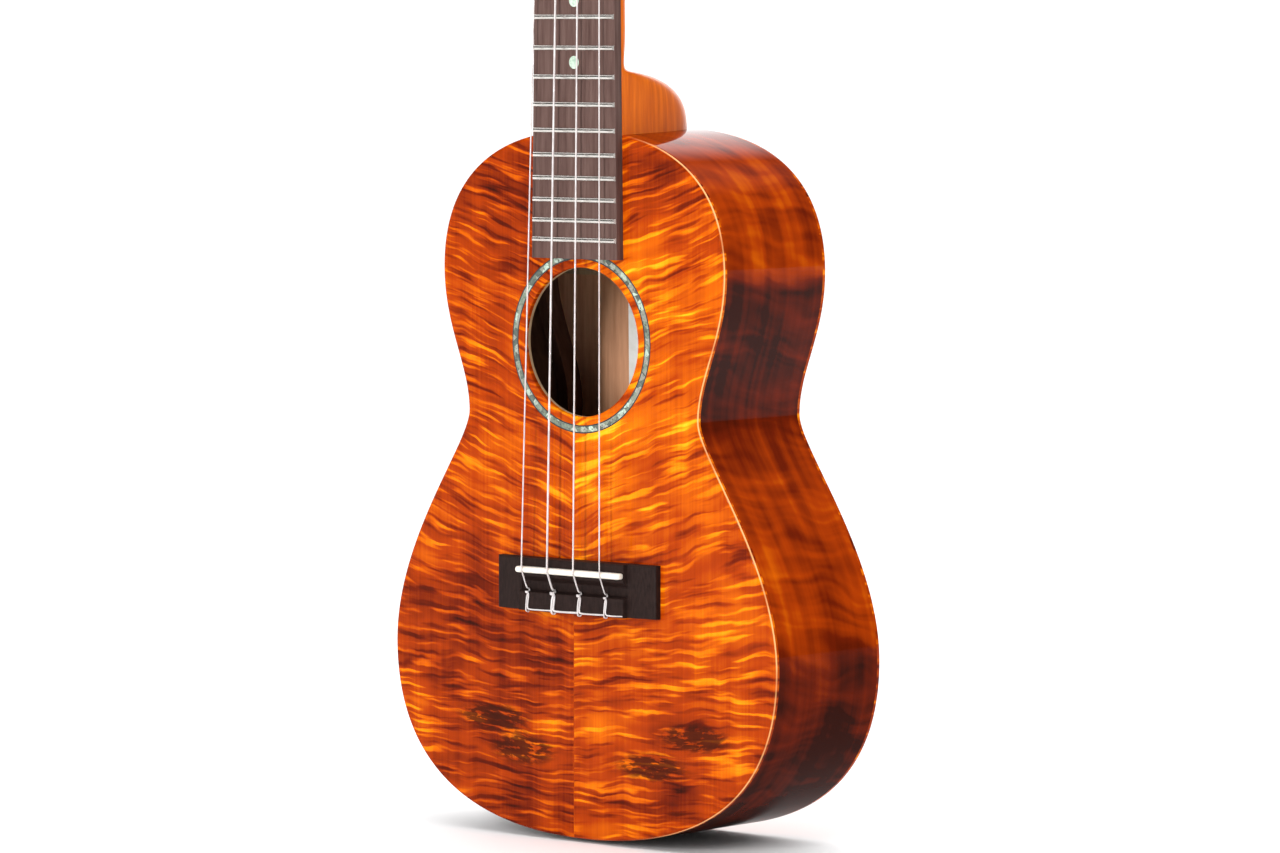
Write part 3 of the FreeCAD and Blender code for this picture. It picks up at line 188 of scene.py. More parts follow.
def soften(mesh, crease):
    """Smooth shading, except over edges sharper than crease degrees."""
    mesh.polygons.foreach_set("use_smooth", np.ones(len(mesh.polygons), bool))
    mesh.set_sharp_from_angle(angle=math.radians(crease))


def coat(mesh, finish):
    """Gives a mesh one finish in place of what it had."""
    mesh.materials.clear()
    mesh.materials.append(finish)


def piece(name, shells, finish, body=BODY, stands_for=(), slot=None, crease=38.0, inner=None):
    """One mesh object from several shells, riding on a body. Edges sharper than crease stay sharp.

    Inner is a second finish and the rule that picks its faces from their middles and normals.
    """
    points, faces, start = [], [], 0
    for shell_points, shell_faces in shells:
        points.append(shell_points)
        faces += [[corner + start for corner in face] for face in shell_faces]
        start += len(shell_points)
    mesh = bpy.data.meshes.new(name)
    mesh.from_pydata(np.concatenate(points).tolist(), [], faces)
    mesh.validate()
    soften(mesh, crease)
    mesh.materials.append(finish)
    if inner:
        second, rule = inner
        mesh.materials.append(second)
        middles, normals = np.empty(len(mesh.polygons) * 3), np.empty(len(mesh.polygons) * 3)
        mesh.polygons.foreach_get("center", middles)
        mesh.polygons.foreach_get("normal", normals)
        inside = rule(middles.reshape(-1, 3), normals.reshape(-1, 3))
        mesh.polygons.foreach_set("material_index", inside.astype(np.int32))
    return place(name, mesh, body, stands_for, slot)


def in_scene(name, data):
    """New object for a mesh, light or camera, linked to the scene."""
    made = bpy.data.objects.new(name, data)
    bpy.context.scene.collection.objects.link(made)
    return made


def place(name, mesh, body, stands_for, slot):
    """Puts a mesh in the scene as a piece that rides on a body and stands for CAD nodes."""
    made = in_scene(name, mesh)
    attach(made, body)
    if stands_for:
        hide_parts(*stands_for)
    return made


def smoothed(name, node, finish, body, slot, crease=30.0):
    """A CAD node's own shape with its triangles joined, so that its round faces shade smoothly."""
    mesh = frame["nodes"][node].data.copy()
    mesh.name = name
    joined = bmesh.new()
    joined.from_mesh(mesh)
    bmesh.ops.remove_doubles(joined, verts=joined.verts, dist=1e-6)
    joined.to_mesh(mesh)
    joined.free()
    soften(mesh, crease)
    coat(mesh, finish)
    return place(name, mesh, body, [node], slot)


def unit(vectors):
    """Vectors brought to length 1."""
    return vectors / np.maximum(np.linalg.norm(vectors, axis=-1, keepdims=True), 1e-12)


def cubic(poles, t):
    """Points of a cubic curve with these four poles at the parameters t."""
    a, b, c, d = poles
    return (1 - t) ** 3 * a + 3 * (1 - t) ** 2 * t * b + 3 * (1 - t) * t ** 2 * c + t ** 3 * d


def bezier(poles, count):
    """Points and tangents of a cubic curve at evenly spaced parameters, last point left out."""
    t = np.linspace(0, 1, count, endpoint=False)[:, None]
    a, b, c, d = (np.array(pole, float) for pole in poles)
    tangents = (1 - t) ** 2 * (b - a) + 2 * (1 - t) * t * (c - b) + t ** 2 * (d - c)
    return cubic((a, b, c, d), t), unit(tangents)


def rim(cut, side, count):
    """Points of the body's outline on one side of x = cut, from tail to neck, and their inward normals.

    The outline is four cubic curves and their mirror image; the points are evenly spaced along it.
    """
    treble = [bezier(poles, OUTLINE_STEPS) for poles in OUTLINE]
    points = np.concatenate([p for p, t in treble]) * MM
    tangents = np.concatenate([t for p, t in treble])
    flip = np.array([-1, 1])
    bass = (points * flip)[::-1]
    bass_tangents = (tangents * -flip)[::-1]
    points = np.concatenate([bass, points, [[0, BODY_LENGTH]], bass[:OUTLINE_STEPS]])
    tangents = np.concatenate([bass_tangents, tangents, [[-1, 0]], bass_tangents[:OUTLINE_STEPS]])
    reach = np.concatenate([[0], np.cumsum(np.linalg.norm(np.diff(points, axis=0), axis=1))])
    edge = side * cut
    # Stretches of the outline that cross x = cut at the tail and at the neck
    tail = slice(4 * OUTLINE_STEPS - 100, 4 * OUTLINE_STEPS + 100)
    neck = slice(8 * OUTLINE_STEPS - 50, 8 * OUTLINE_STEPS + 150)
    low = np.interp(edge, points[tail, 0], reach[tail])
    high = np.interp(-edge, -points[neck, 0], reach[neck])
    at = np.linspace(low, high, count)
    points = np.stack([np.interp(at, reach, points[:, k]) for k in (0, 1)], -1)
    tangents = unit(np.stack([np.interp(at, reach, tangents[:, k]) for k in (0, 1)], -1))
    points[0, 0] = points[-1, 0] = edge
    inward = np.stack([-tangents[:, 1], tangents[:, 0]], -1)
    mirror = np.array([side, 1])
    return points * mirror, inward * mirror


def at_depth(points, y):
    """Puts (x, z) points at depth y, a number or one for each point."""
    return np.stack([points[:, 0], np.broadcast_to(y, len(points)), points[:, 1]], -1)


def back_y(z):
    """Outer face of the back at height z."""
    return BACK_AT_TAIL - BACK_LEAN * z


def rounded_rim(outline, inward, radius, y, turns, away=1):
    """Rows round an edge: inward by r (1 - cos) of each turn and away from depth y by r (1 - sin)."""
    rows = []
    for turn in np.radians(turns):
        ring = outline + inward * radius * (1 - math.cos(turn))
        rows.append(at_depth(ring, y + away * radius * (1 - math.sin(turn))))
    return rows


def soundboard_half(side, seam, count=260):
    """Half of the soundboard: its section goes round the rim, across to the soundhole and back underneath.

    Between the rim and the hole each row is a straight blend of the outline and the hole's circle.
    """
    outline, inward = rim(seam, side, count)
    centre = np.array([HOLE.x, HOLE.z])
    out = outline - centre
    angle = np.unwrap(np.arctan2(out[:, 1], out[:, 0]))
    share = np.linspace(0, 1, count)

    def circle(radius):
        """Points on a circle, paired with the outline's, starting and ending on the seam."""
        lean = math.asin(seam / radius)
        first = lean - math.pi / 2
        last = math.pi / 2 - lean if side > 0 else -3 * math.pi / 2 - lean
        fitted = angle + (1 - share) * (first - angle[0]) + share * (last - angle[-1])
        return centre + radius * np.stack([np.cos(fitted), np.sin(fitted)], -1)

    rows = rounded_rim(outline, inward, EDGE_ROUNDING, FACE_Y, np.linspace(0, 90, 7))
    start = outline + inward * (EDGE_ROUNDING + EDGE_MARGIN)
    for step in np.linspace(0, 1, 14):
        rows.append(at_depth(start * (1 - step) + circle(HOLE_RADIUS + 2 * HOLE_LIP) * step, FACE_Y))
    for turn in np.radians(np.linspace(0, 90, 5)):
        edge = circle(HOLE_RADIUS + HOLE_LIP * (1 - math.sin(turn)))
        rows.append(at_depth(edge, FACE_Y + HOLE_LIP * (1 - math.cos(turn))))
    under = FACE_Y + TOP_THICKNESS
    rows.append(at_depth(circle(HOLE_RADIUS), under))
    for step in np.linspace(0.2, 1, 5):
        rows.append(at_depth(circle(HOLE_RADIUS) * (1 - step) + outline * step, under))
    return shell(rows, wrap_rows=True, caps=True)


def rib_half(side, count=260):
    """Bent side: a thin upright wall along half the outline, from the soundboard to the back."""
    outline, inward = rim(0, side, count)
    front = FACE_Y + TOP_THICKNESS
    rear = back_y(outline[:, 1]) - BACK_THICKNESS
    rows = [at_depth(outline, front + (rear - front) * step) for step in np.linspace(0, 1, 13)]
    inner = outline + inward * RIB_THICKNESS
    rows += [at_depth(inner, rear + (front - rear) * step) for step in np.linspace(0, 1, 5)]
    return shell(rows, wrap_rows=True, caps=True)


def back_half(side, count=260):
    """Half of the back: from the seam out to the rounded rim, and back to the seam inside."""
    outline, inward = rim(0, side, count)
    rows = []
    edge = outline + inward * (EDGE_ROUNDING + EDGE_MARGIN)
    for step in np.linspace(0, 1, 9):
        across = edge * np.array([step, 1])
        rows.append(at_depth(across, back_y(across[:, 1])))
    for turn in np.radians(np.linspace(0, 90, 7)):
        ring = outline + inward * EDGE_ROUNDING * (1 - math.sin(turn))
        rows.append(at_depth(ring, back_y(ring[:, 1]) - EDGE_ROUNDING * (1 - math.cos(turn))))
    inner = back_y(outline[:, 1]) - BACK_THICKNESS
    for step in np.linspace(1, 0, 6):
        rows.append(at_depth(outline * np.array([step, 1]), inner))
    grid = np.array(rows)[:, 1:-1]
    return shell(grid, wrap_rows=True, caps=True)


def flat_ring(inner, outer, front, back, count=256):
    """Ring facing the front, with a square section."""
    angle = full_turn(count)
    rows = []
    section = [(inner, back), (inner, front), ((inner + outer) / 2, front), (outer, front), (outer, back)]
    for radius, y in section:
        ring = np.stack([HOLE.x + radius * np.cos(angle), HOLE.z + radius * np.sin(angle)], -1)
        rows.append(at_depth(ring, y))
    return shell(rows, wrap_rows=True, wrap_columns=True)


# ---- neck ----

def board_half_width(z):
    """Half width of the fretboard and of the neck's front, a straight taper to the nut."""
    low, high = (BOARD_HIGH.x - BOARD_LOW.x) / 2, (NUT_HIGH.x - NUT_LOW.x) / 2 + 0.1 * MM
    share = (z - BOARD_LOW.z) / (NUT_LOW.z - BOARD_LOW.z)
    return low + (high - low) * share


def shaft_depth(z):
    """Depth of the neck's shaft behind its front face at height z."""
    share = (NUT_LOW.z - z) / (NUT_LOW.z - BODY_LENGTH)
    return NECK_DEPTH_AT_NUT + (NECK_DEPTH_AT_HEEL - NECK_DEPTH_AT_NUT) * share


def heel_line():
    """Heights and depths down the back of the heel: a superellipse, then a hollow curve into the shaft."""
    turn = np.radians(np.linspace(0, HEEL_TURN, 26))
    rise = HEEL_HEIGHT * np.sin(turn) ** (2 / HEEL_PROFILE_POWER)
    depth = HEEL_DEPTH * np.cos(turn) ** (2 / HEEL_PROFILE_POWER)
    t = np.linspace(0, 1, 22)[1:, None]
    start = np.array([rise[-1], depth[-1]])
    slope = unit(start - np.array([rise[-2], depth[-2]]))
    top = HEEL_HEIGHT + HEEL_BLEND
    end = np.array([top, shaft_depth(BODY_LENGTH + top)])
    curve = cubic((start, start + slope * HEEL_PULL, end - np.array([SHAFT_PULL, 0]), end), t)
    return np.concatenate([rise, curve[:, 0]]) + BODY_LENGTH, np.concatenate([depth, curve[:, 1]])


def neck_shaft():
    """Neck: sections flat in front, a superellipse behind, deep at the heel and squarer at the headstock.

    x = half * cos^(2/n) * (1 - narrowing * s) and y = depth * s, with s = sin^(2/n).
    """
    heights, depths = heel_line()
    blend_low = HEAD_Z - HEAD_BLEND
    more = np.linspace(heights[-1], blend_low, 14)[1:]
    last = np.linspace(blend_low, HEAD_Z - NECK_END_GAP, 12)[1:]
    z = np.concatenate([heights, more, last])
    depth = np.concatenate([depths, shaft_depth(more), shaft_depth(last)])
    heel = np.clip((depth - shaft_depth(z)) / (HEEL_DEPTH - shaft_depth(z)), 0, 1)
    squarer = np.clip((z - blend_low) / HEAD_BLEND, 0, 1) ** 2
    power = NECK_ROUNDNESS + (HEEL_SQUARENESS - NECK_ROUNDNESS) * heel + 5 * squarer
    turn = np.linspace(0, math.pi, 49)
    cosine, sine = np.cos(turn)[None, :], np.sin(turn)[None, :]
    behind = np.maximum(sine, 0) ** (2 / power[:, None])
    narrowing = 1 - HEEL_NARROWING * heel[:, None] * behind
    across = np.sign(cosine) * np.abs(cosine) ** (2 / power[:, None]) * narrowing
    half = board_half_width(z)[:, None]
    x = half * across
    y = FACE_Y + depth[:, None] * behind
    outline = rim(0, 1, 400)[0]
    body_edge = np.interp(-np.abs(x), -outline[200:, 0], outline[200:, 1])
    near = np.clip(1 - (z - BODY_LENGTH) / HEEL_FOLLOWS_EDGE, 0, 1)[:, None] ** 2
    height = z[:, None] - (BODY_LENGTH - body_edge + 0.3 * MM) * near
    grid = np.stack([x, y, height], -1)
    front = np.stack([np.linspace(-1, 1, 9)[None, 1:-1] * half, np.full((len(z), 7), FACE_Y),
                      np.repeat(height[:, :1], 7, axis=1)], -1)
    return closed(np.concatenate([grid, front], axis=1))


def tilted(points):
    """Turns points drawn on an upright headstock back to its own angle, about the nut's upper edge."""
    points = np.asarray(points, float)
    y, z = points[..., 1] - FACE_Y, points[..., 2] - HEAD_Z
    out = points.copy()
    out[..., 1] = FACE_Y + y * math.cos(HEAD_ANGLE) + z * math.sin(HEAD_ANGLE)
    out[..., 2] = HEAD_Z - y * math.sin(HEAD_ANGLE) + z * math.cos(HEAD_ANGLE)
    return out


def head_outline():
    """Headstock's outline, (x, z): a flaring curve, a straight side, a round corner and an arched top."""
    root = board_half_width(HEAD_Z)
    wide_low, wide_top, corner, crown, rise = 27.2 * MM, 29.5 * MM, 8 * MM, 5 * MM, 27 * MM
    flare = bezier([(root, 0), (root, rise / 2), (wide_low, rise / 2), (wide_low, rise)], 16)[0]
    side_top = HEAD_LENGTH - crown - corner
    side = np.stack([np.linspace(wide_low, wide_top, 12), np.linspace(rise, side_top, 12)], -1)
    turn = np.radians(np.linspace(0, 90, 12))[1:]
    bend = np.stack([wide_top - corner + corner * np.cos(turn), side_top + corner * np.sin(turn)], -1)
    half_top = wide_top - corner
    radius = (half_top ** 2 + crown ** 2) / (2 * crown)
    x = np.linspace(half_top, 0, 10)[1:]
    arch = np.stack([x, HEAD_LENGTH - radius + np.sqrt(radius ** 2 - x ** 2)], -1)
    half = np.concatenate([flare, side, bend, arch])
    return np.concatenate([half, (half * np.array([-1, 1]))[::-1][1:]]) + np.array([0, HEAD_Z])


def slab(outline, front, back, rounding):
    """Flat plate of an outline between two depths, its rims rounded by quarter circles."""
    tangent = unit(np.roll(outline, -1, axis=0) - np.roll(outline, 1, axis=0))
    inward = np.stack([-tangent[:, 1], tangent[:, 0]], -1)
    rows = [at_depth(outline + inward * (rounding * 2.2), front)]
    rows += rounded_rim(outline, inward, rounding, front, np.linspace(90, 0, 6))
    rows += rounded_rim(outline, inward, rounding, back, np.linspace(0, 90, 6), -1)
    rows.append(at_depth(outline + inward * (rounding * 2.2), back))
    return np.array(rows)


def rounded_bar(half_widths, heights, y_front, y_back, rounding):
    """Bar along z with a rounded rectangle for its section; one half width for each height."""
    corners = []
    for centre_x, centre_y, start in ((1, 1, 0), (-1, 1, 90), (-1, -1, 180), (1, -1, 270)):
        for turn in np.radians(np.linspace(start, start + 90, 5)):
            corners.append((centre_x, centre_y, math.cos(turn), math.sin(turn)))
    corners = np.array(corners)
    middle, half_depth = (y_front + y_back) / 2, (y_back - y_front) / 2
    rows = []
    for half, z in zip(half_widths, heights):
        x = corners[:, 0] * (half - rounding) + corners[:, 2] * rounding
        y = middle + corners[:, 1] * (half_depth - rounding) + corners[:, 3] * rounding
        rows.append(np.stack([x, y, np.full(len(x), z)], -1))
    return closed(rows)


def fret_z(number):
    """Height of a fret: each one takes the string down by the twelfth root of two."""
    return BRIDGE_LINE + SCALE_LENGTH * 2 ** (-number / 12)


def fret_bar(z):
    """Fret: a half-ellipse crown whose ends slope in as they rise."""
    half = board_half_width(z) - FRET_END_GAP
    turn = np.linspace(0, math.pi, 15)
    rows = []
    for share in (-1, -0.9, 0, 0.9, 1):
        x = share * (half - 0.55 * FRET_HEIGHT * np.sin(turn))
        y = BOARD_LOW.y - FRET_HEIGHT * np.sin(turn)
        crown = np.stack([x, y, z + FRET_WIDTH / 2 * np.cos(turn)], -1)
        sunk = crown[[-1, 0]] + np.array([0, 0.15 * MM, 0])
        rows.append(np.concatenate([crown, sunk]))
    return closed(rows)


def lathe(profile, origin, axis, count=40):
    """Turned shape: (distance along the axis, radius) pairs carried round the axis."""
    axis = unit(np.array(axis, float))
    side = unit(np.cross(axis, [0.3, 0.5, 0.8]))
    other = np.cross(axis, side)
    angle = full_turn(count)
    ring = np.cos(angle)[:, None] * side + np.sin(angle)[:, None] * other
    rows = [np.array(origin) + axis * along + ring * radius for along, radius in profile]
    return closed(rows)


def fret_dot(number):
    """Round inlay midway between a fret and the one before it, slightly domed."""
    z = (fret_z(number) + fret_z(number - 1)) / 2
    dome = [(-0.3 * MM, DOT_RADIUS), (0.0, DOT_RADIUS), (0.05 * MM, DOT_RADIUS - 0.15 * MM),
            (0.07 * MM, 1.0 * MM), (0.07 * MM, 0.01 * MM)]
    return lathe(dome, (0, BOARD_LOW.y, z), (0, -1, 0))


def smooth_path(points, steps):
    """Catmull-Rom curve through the points, with this many steps in each span."""
    points = np.asarray(points, float)
    padded = np.concatenate([[2 * points[0] - points[1]], points, [2 * points[-1] - points[-2]]])
    t = np.linspace(0, 1, steps, endpoint=False)[:, None]
    spans = []
    for a, b, c, d in zip(padded[:-3], padded[1:-2], padded[2:-1], padded[3:]):
        spans.append(0.5 * (2 * b + (c - a) * t + (2 * a - 5 * b + 4 * c - d) * t ** 2
                            + (3 * b - a - 3 * c + d) * t ** 3))
    return np.concatenate(spans + [points[-1:]])


def tube(path, radius, sides=12):
    """Round tube along a path; its frame is carried from point to point without twisting."""
    path = np.asarray(path, float)
    ahead = unit(np.gradient(path, axis=0))
    normal = np.cross(ahead[0], [0.31, 0.77, 0.55])
    rows = []
    angle = full_turn(sides)
    for point, direction in zip(path, ahead):
        normal = unit(normal - direction * np.dot(normal, direction))
        other = np.cross(direction, normal)
        rows.append(point + radius * (np.cos(angle)[:, None] * normal + np.sin(angle)[:, None] * other))
    return closed(rows)


# ---- bridge and strings ----

def smooth_step(value, low, high):
    """0 below low, 1 above high and s^2 (3 - 2 s) between, with s the share of the way."""
    share = np.clip((value - low) / (high - low), 0, 1)
    return share * share * (3 - 2 * share)


def bridge_surface():
    """Bridge as a height over (x, z): low wings, and between them a tie block, a valley and a saddle ridge.

    The height falls off as a quarter circle at every outer edge, and a last row all round drops to the
    soundboard.
    """
    half = BRIDGE_HIGH.x
    low, high = BRIDGE_LOW.z, BRIDGE_HIGH.z
    top = FACE_Y - BRIDGE_LOW.y
    block = BLOCK_HALF_WIDTH
    round_edge = 0.7 * MM
    edge = np.array([0, 0.02, 0.08, 0.2, 0.4, 0.7, 1.0, 1.4]) * MM
    x_plain = np.concatenate([edge, np.linspace(2.2 * MM, half - block - 1.2 * MM, 8)])
    step = half - block + np.linspace(-0.7, 0.7, 13) * MM
    middle = np.linspace(half - block + 1.4 * MM, half, 16)[:-1]
    x_half = np.concatenate([x_plain, step, middle]) - half
    x = np.concatenate([x_half, [0], -x_half[::-1]])
    tie, valley = low + TIE_BLOCK_DEPTH, low + VALLEY_DEPTH
    ridge = SADDLE_LOW.z - 0.9 * MM
    z = np.unique(np.round(np.concatenate([
        low + edge, np.linspace(low + 2 * MM, tie - 1.1 * MM, 8), tie + np.linspace(-0.9, 0.5, 10) * MM,
        np.linspace(tie + 0.7 * MM, valley - 0.2 * MM, 5), np.linspace(valley, ridge + 0.4 * MM, 9),
        np.linspace(ridge + 0.8 * MM, high - 1.8 * MM, 10), high - edge]), 8))
    x_grid, z_grid = np.meshgrid(x, z, indexing="ij")
    wing = WING_HEIGHT - WING_FALL * smooth_step(np.abs(x_grid), block, half)
    floor = VALLEY_HEIGHT
    block_height = np.full_like(z_grid, top)
    block_height += (floor - top) * smooth_step(z_grid, tie - 0.7 * MM, tie + 0.2 * MM)
    block_height += (top - floor) * smooth_step(z_grid, valley, ridge + 0.2 * MM)
    inside = 1 - smooth_step(np.abs(x_grid), block - 0.55 * MM, block + 0.1 * MM)
    height = wing + (block_height - wing) * inside
    gap = np.minimum(half - np.abs(x_grid), np.minimum(z_grid - low, high - z_grid))
    fall = np.clip(1 - gap / round_edge, 0, 1)
    height = height - round_edge * (1 - np.sqrt(1 - fall ** 2))
    surface = np.stack([x_grid, FACE_Y - height, z_grid], -1)
    surface = np.pad(surface, ((1, 1), (1, 1), (0, 0)), mode="edge")
    surface[[0, -1], :, 1] = FACE_Y
    surface[:, [0, -1], 1] = FACE_Y
    return shell(surface)


def saddle_bar():
    """Saddle: a straight-sided blade with a half-round top; its ends fall off as quarter circles."""
    thick = (SADDLE_HIGH.z - SADDLE_LOW.z) / 2
    centre_z = (SADDLE_HIGH.z + SADDLE_LOW.z) / 2
    end_rounding = 1.3 * MM
    turn = np.linspace(0, math.pi, 13)
    stations = []
    for share in (0.02, 0.1, 0.25, 0.5, 0.75, 1):
        stations.append((end_rounding * share - SADDLE_HIGH.x, math.sqrt(1 - (1 - share) ** 2)))
    stations += [(-x, scale) for x, scale in stations[::-1]]
    grid = []
    for x, scale in stations:
        crown_y = SADDLE_LOW.y + thick - thick * np.sin(turn) * scale
        crown_y = crown_y + (1 - scale) * 0.9 * MM
        crown_z = centre_z + thick * np.cos(turn) * (0.45 + 0.55 * scale)
        crown = np.stack([np.full(13, x), crown_y, crown_z], -1)
        foot = crown[[-1, 0]].copy()
        foot[:, 1] = SADDLE_HIGH.y
        grid.append(np.concatenate([crown, foot]))
    return closed(grid)


def string_places(name):
    """x over the saddle, x over the nut, and the post that the string winds on."""
    share = STRINGS.index(name) / 3 - 0.5
    post = np.array(JOINTS["post_%s_turn" % name]["pos_m"])
    return SADDLE_SPREAD * share + SADDLE_SHIFT, NUT_SPREAD * share, post


def knot_points(name):
    """Route of a tied end: tail on the block's edge, over the block, twist, back over it and through it."""
    radius = STRING_RADII[name]
    x = string_places(name)[0]
    low = BRIDGE_LOW.z
    top = BRIDGE_LOW.y - radius
    hole = FACE_Y - TIE_HOLE_HEIGHT
    front = low + TIE_BLOCK_DEPTH
    strand = radius * 1.05
    following = STRINGS.index(name) + 1
    tail_end = string_places(STRINGS[following])[0] - 0.4 * MM if following < 4 else 27.0 * MM
    points = [(tail_end, top + 0.1 * MM, low + 0.75 * MM),
              ((tail_end + x) / 2, top + 0.05 * MM, low + 0.6 * MM),
              (x + 1.4 * MM, top, low + 0.7 * MM)]
    for aside, up in ((0.35, 1.8), (0.6, 3.8), (0.85, 5.8)):
        points.append((x + strand + aside * MM, top, low + up * MM))
    turn = np.radians(np.arange(-40, 700, 60))[:, None]
    middle = np.array([x + 0.55 * MM, top - radius * 0.4, front - 1.0 * MM])
    ellipse = np.cos(turn) * np.array([1, 0, 0]) + np.sin(turn) * np.array([0, -0.8, 0.35])
    round_it = 1.75 * radius * ellipse
    advance = (turn / math.pi) * radius * np.array([-0.25, 0.1, 0.55])
    points += [tuple(place) for place in middle + round_it + advance]
    for aside, deeper, up in ((0.7, -0.1, 5.4), (0.4, 0, 3.6), (0.2, 0, 1.6)):
        points.append((x - strand + aside * MM, top + deeper * MM, low + up * MM))
    points += [(x - 0.3 * MM, top + 0.25 * MM, low + 0.1 * MM),
               (x - 0.3 * MM, BRIDGE_LOW.y + 0.6 * MM, low - radius - 0.12 * MM),
               (x - 0.1 * MM, hole - 0.3 * MM, low - radius - 0.1 * MM),
               (x, hole, low + 0.4 * MM),
               (x, hole, low + 2.5 * MM),
               (x, hole, low + 7.6 * MM),
               (x, hole - 0.25 * MM, front + 0.6 * MM),
               (x, top + 0.2 * MM, front + 1.5 * MM)]
    return points


def string_path(name):
    """Whole route of a string: its tied end, then straight runs over the saddle and the nut to its post."""
    radius = STRING_RADII[name]
    x, nut_x, post = string_places(name)
    over_z = (SADDLE_LOW.z + SADDLE_HIGH.z) / 2
    crown = SADDLE_LOW.y - radius
    before = (x, crown + 0.62 * MM, over_z - 1.3 * MM)
    after = (x, crown, over_z + 1.3 * MM)
    tied = smooth_path(knot_points(name) + [before, (x, crown, over_z), after], 7)
    nut_point = np.array([nut_x, NUT_LOW.y + NUT_SLOT_DEPTH - radius - STRING_GAP, HEAD_Z])
    start = np.array(after)
    run = start + (nut_point - start) * np.linspace(0, 1, 30)[1:, None]
    side = math.copysign(1, post[0])
    first_turn = WINDING_HEIGHT + VENEER + 3 * radius
    wound = post + HEAD_OUT * first_turn - np.array([side * (POST_WAIST_RADIUS + 2 * radius), 0, 0])
    bend = nut_point + np.array([0, 0, 0.5 * MM])
    last = bend + (wound - bend) * np.linspace(0, 1, 12)[1:, None]
    return np.concatenate([tied, run, last])


# ---- tuners ----

def post_profile(radius):
    """Post as (distance out of the wood, radius): wheel end, shank, winding seat, waist, rounded head."""
    seat = VENEER + WINDING_HEIGHT - radius
    waist = seat + 2 * WINDING_TURNS * radius
    top = VENEER + POST_HEIGHT
    full, thin = POST_RADIUS / MM, POST_WAIST_RADIUS / MM
    parts = [(0, [(-17.9, 0.05), (-17.9, 2.3), (-17.8, 2.4), (-14.9, 2.4), (-14.9, full)]),
             (seat, [(0, full), (0.02, thin)]),
             (waist, [(2.2, thin), (2.5, 2.62), (2.8, 2.9), (3.0, full)]),
             (top, [(-0.6, full), (-0.42, 2.95), (-0.18, 2.82), (-0.05, 2.64), (0, 2.4), (0, 0.05)])]
    return [(start + along * MM, size * MM) for start, part in parts for along, size in part]


def winding(name):
    """Helix of string round the post's waist, from the string's first touch: one diameter up each turn."""
    radius = STRING_RADII[name]
    post = string_places(name)[2]
    turn = np.linspace(0, 2 * math.pi * WINDING_TURNS, 150)[:, None]
    side = math.copysign(1, post[0])
    rise = VENEER + WINDING_HEIGHT + radius * turn / math.pi * 0.98
    ring = -side * np.cos(turn) * np.array([1.0, 0, 0]) + np.sin(turn) * HEAD_UP
    return post + HEAD_OUT * rise + ring * (POST_WAIST_RADIUS + radius * 0.97)


def button_grip(name):
    """Oval grip: ellipses across its thickness, whose size is (1 - |s|^4)^(1/4) of the middle one's."""
    low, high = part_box("button_" + name)
    centre = np.array((low + high) / 2)
    length = (high - low).x / 2
    width, thick = 7.5 * MM, 3.3 * MM
    turn = full_turn(56)[:, None]
    grid = []
    for share in np.sin(np.radians(np.linspace(-88, 88, 31))):
        reach = max((1 - abs(share) ** 4) ** (1 / 4), 0.02)
        across = np.cos(turn) * length * reach * np.array([1.0, 0, 0])
        along = np.sin(turn) * width * reach * HEAD_UP
        grid.append(centre + across + along + HEAD_OUT * thick * share)
    return closed(grid)


# ================= finishes =================

class Term:
    """A number inside a material; ordinary arithmetic on it adds the nodes that work it out."""

    def __init__(self, finish, socket):
        self.finish = finish
        self.socket = socket

    def __add__(self, other):
        return self.finish.math("ADD", self, other)

    def __sub__(self, other):
        return self.finish.math("SUBTRACT", self, other)

    def __rsub__(self, other):
        return self.finish.math("SUBTRACT", other, self)

    def __mul__(self, other):
        return self.finish.math("MULTIPLY", self, other)

    def __truediv__(self, other):
        return self.finish.math("DIVIDE", self, other)

    def __rtruediv__(self, other):
        return self.finish.math("DIVIDE", other, self)

    __radd__ = __add__
    __rmul__ = __mul__


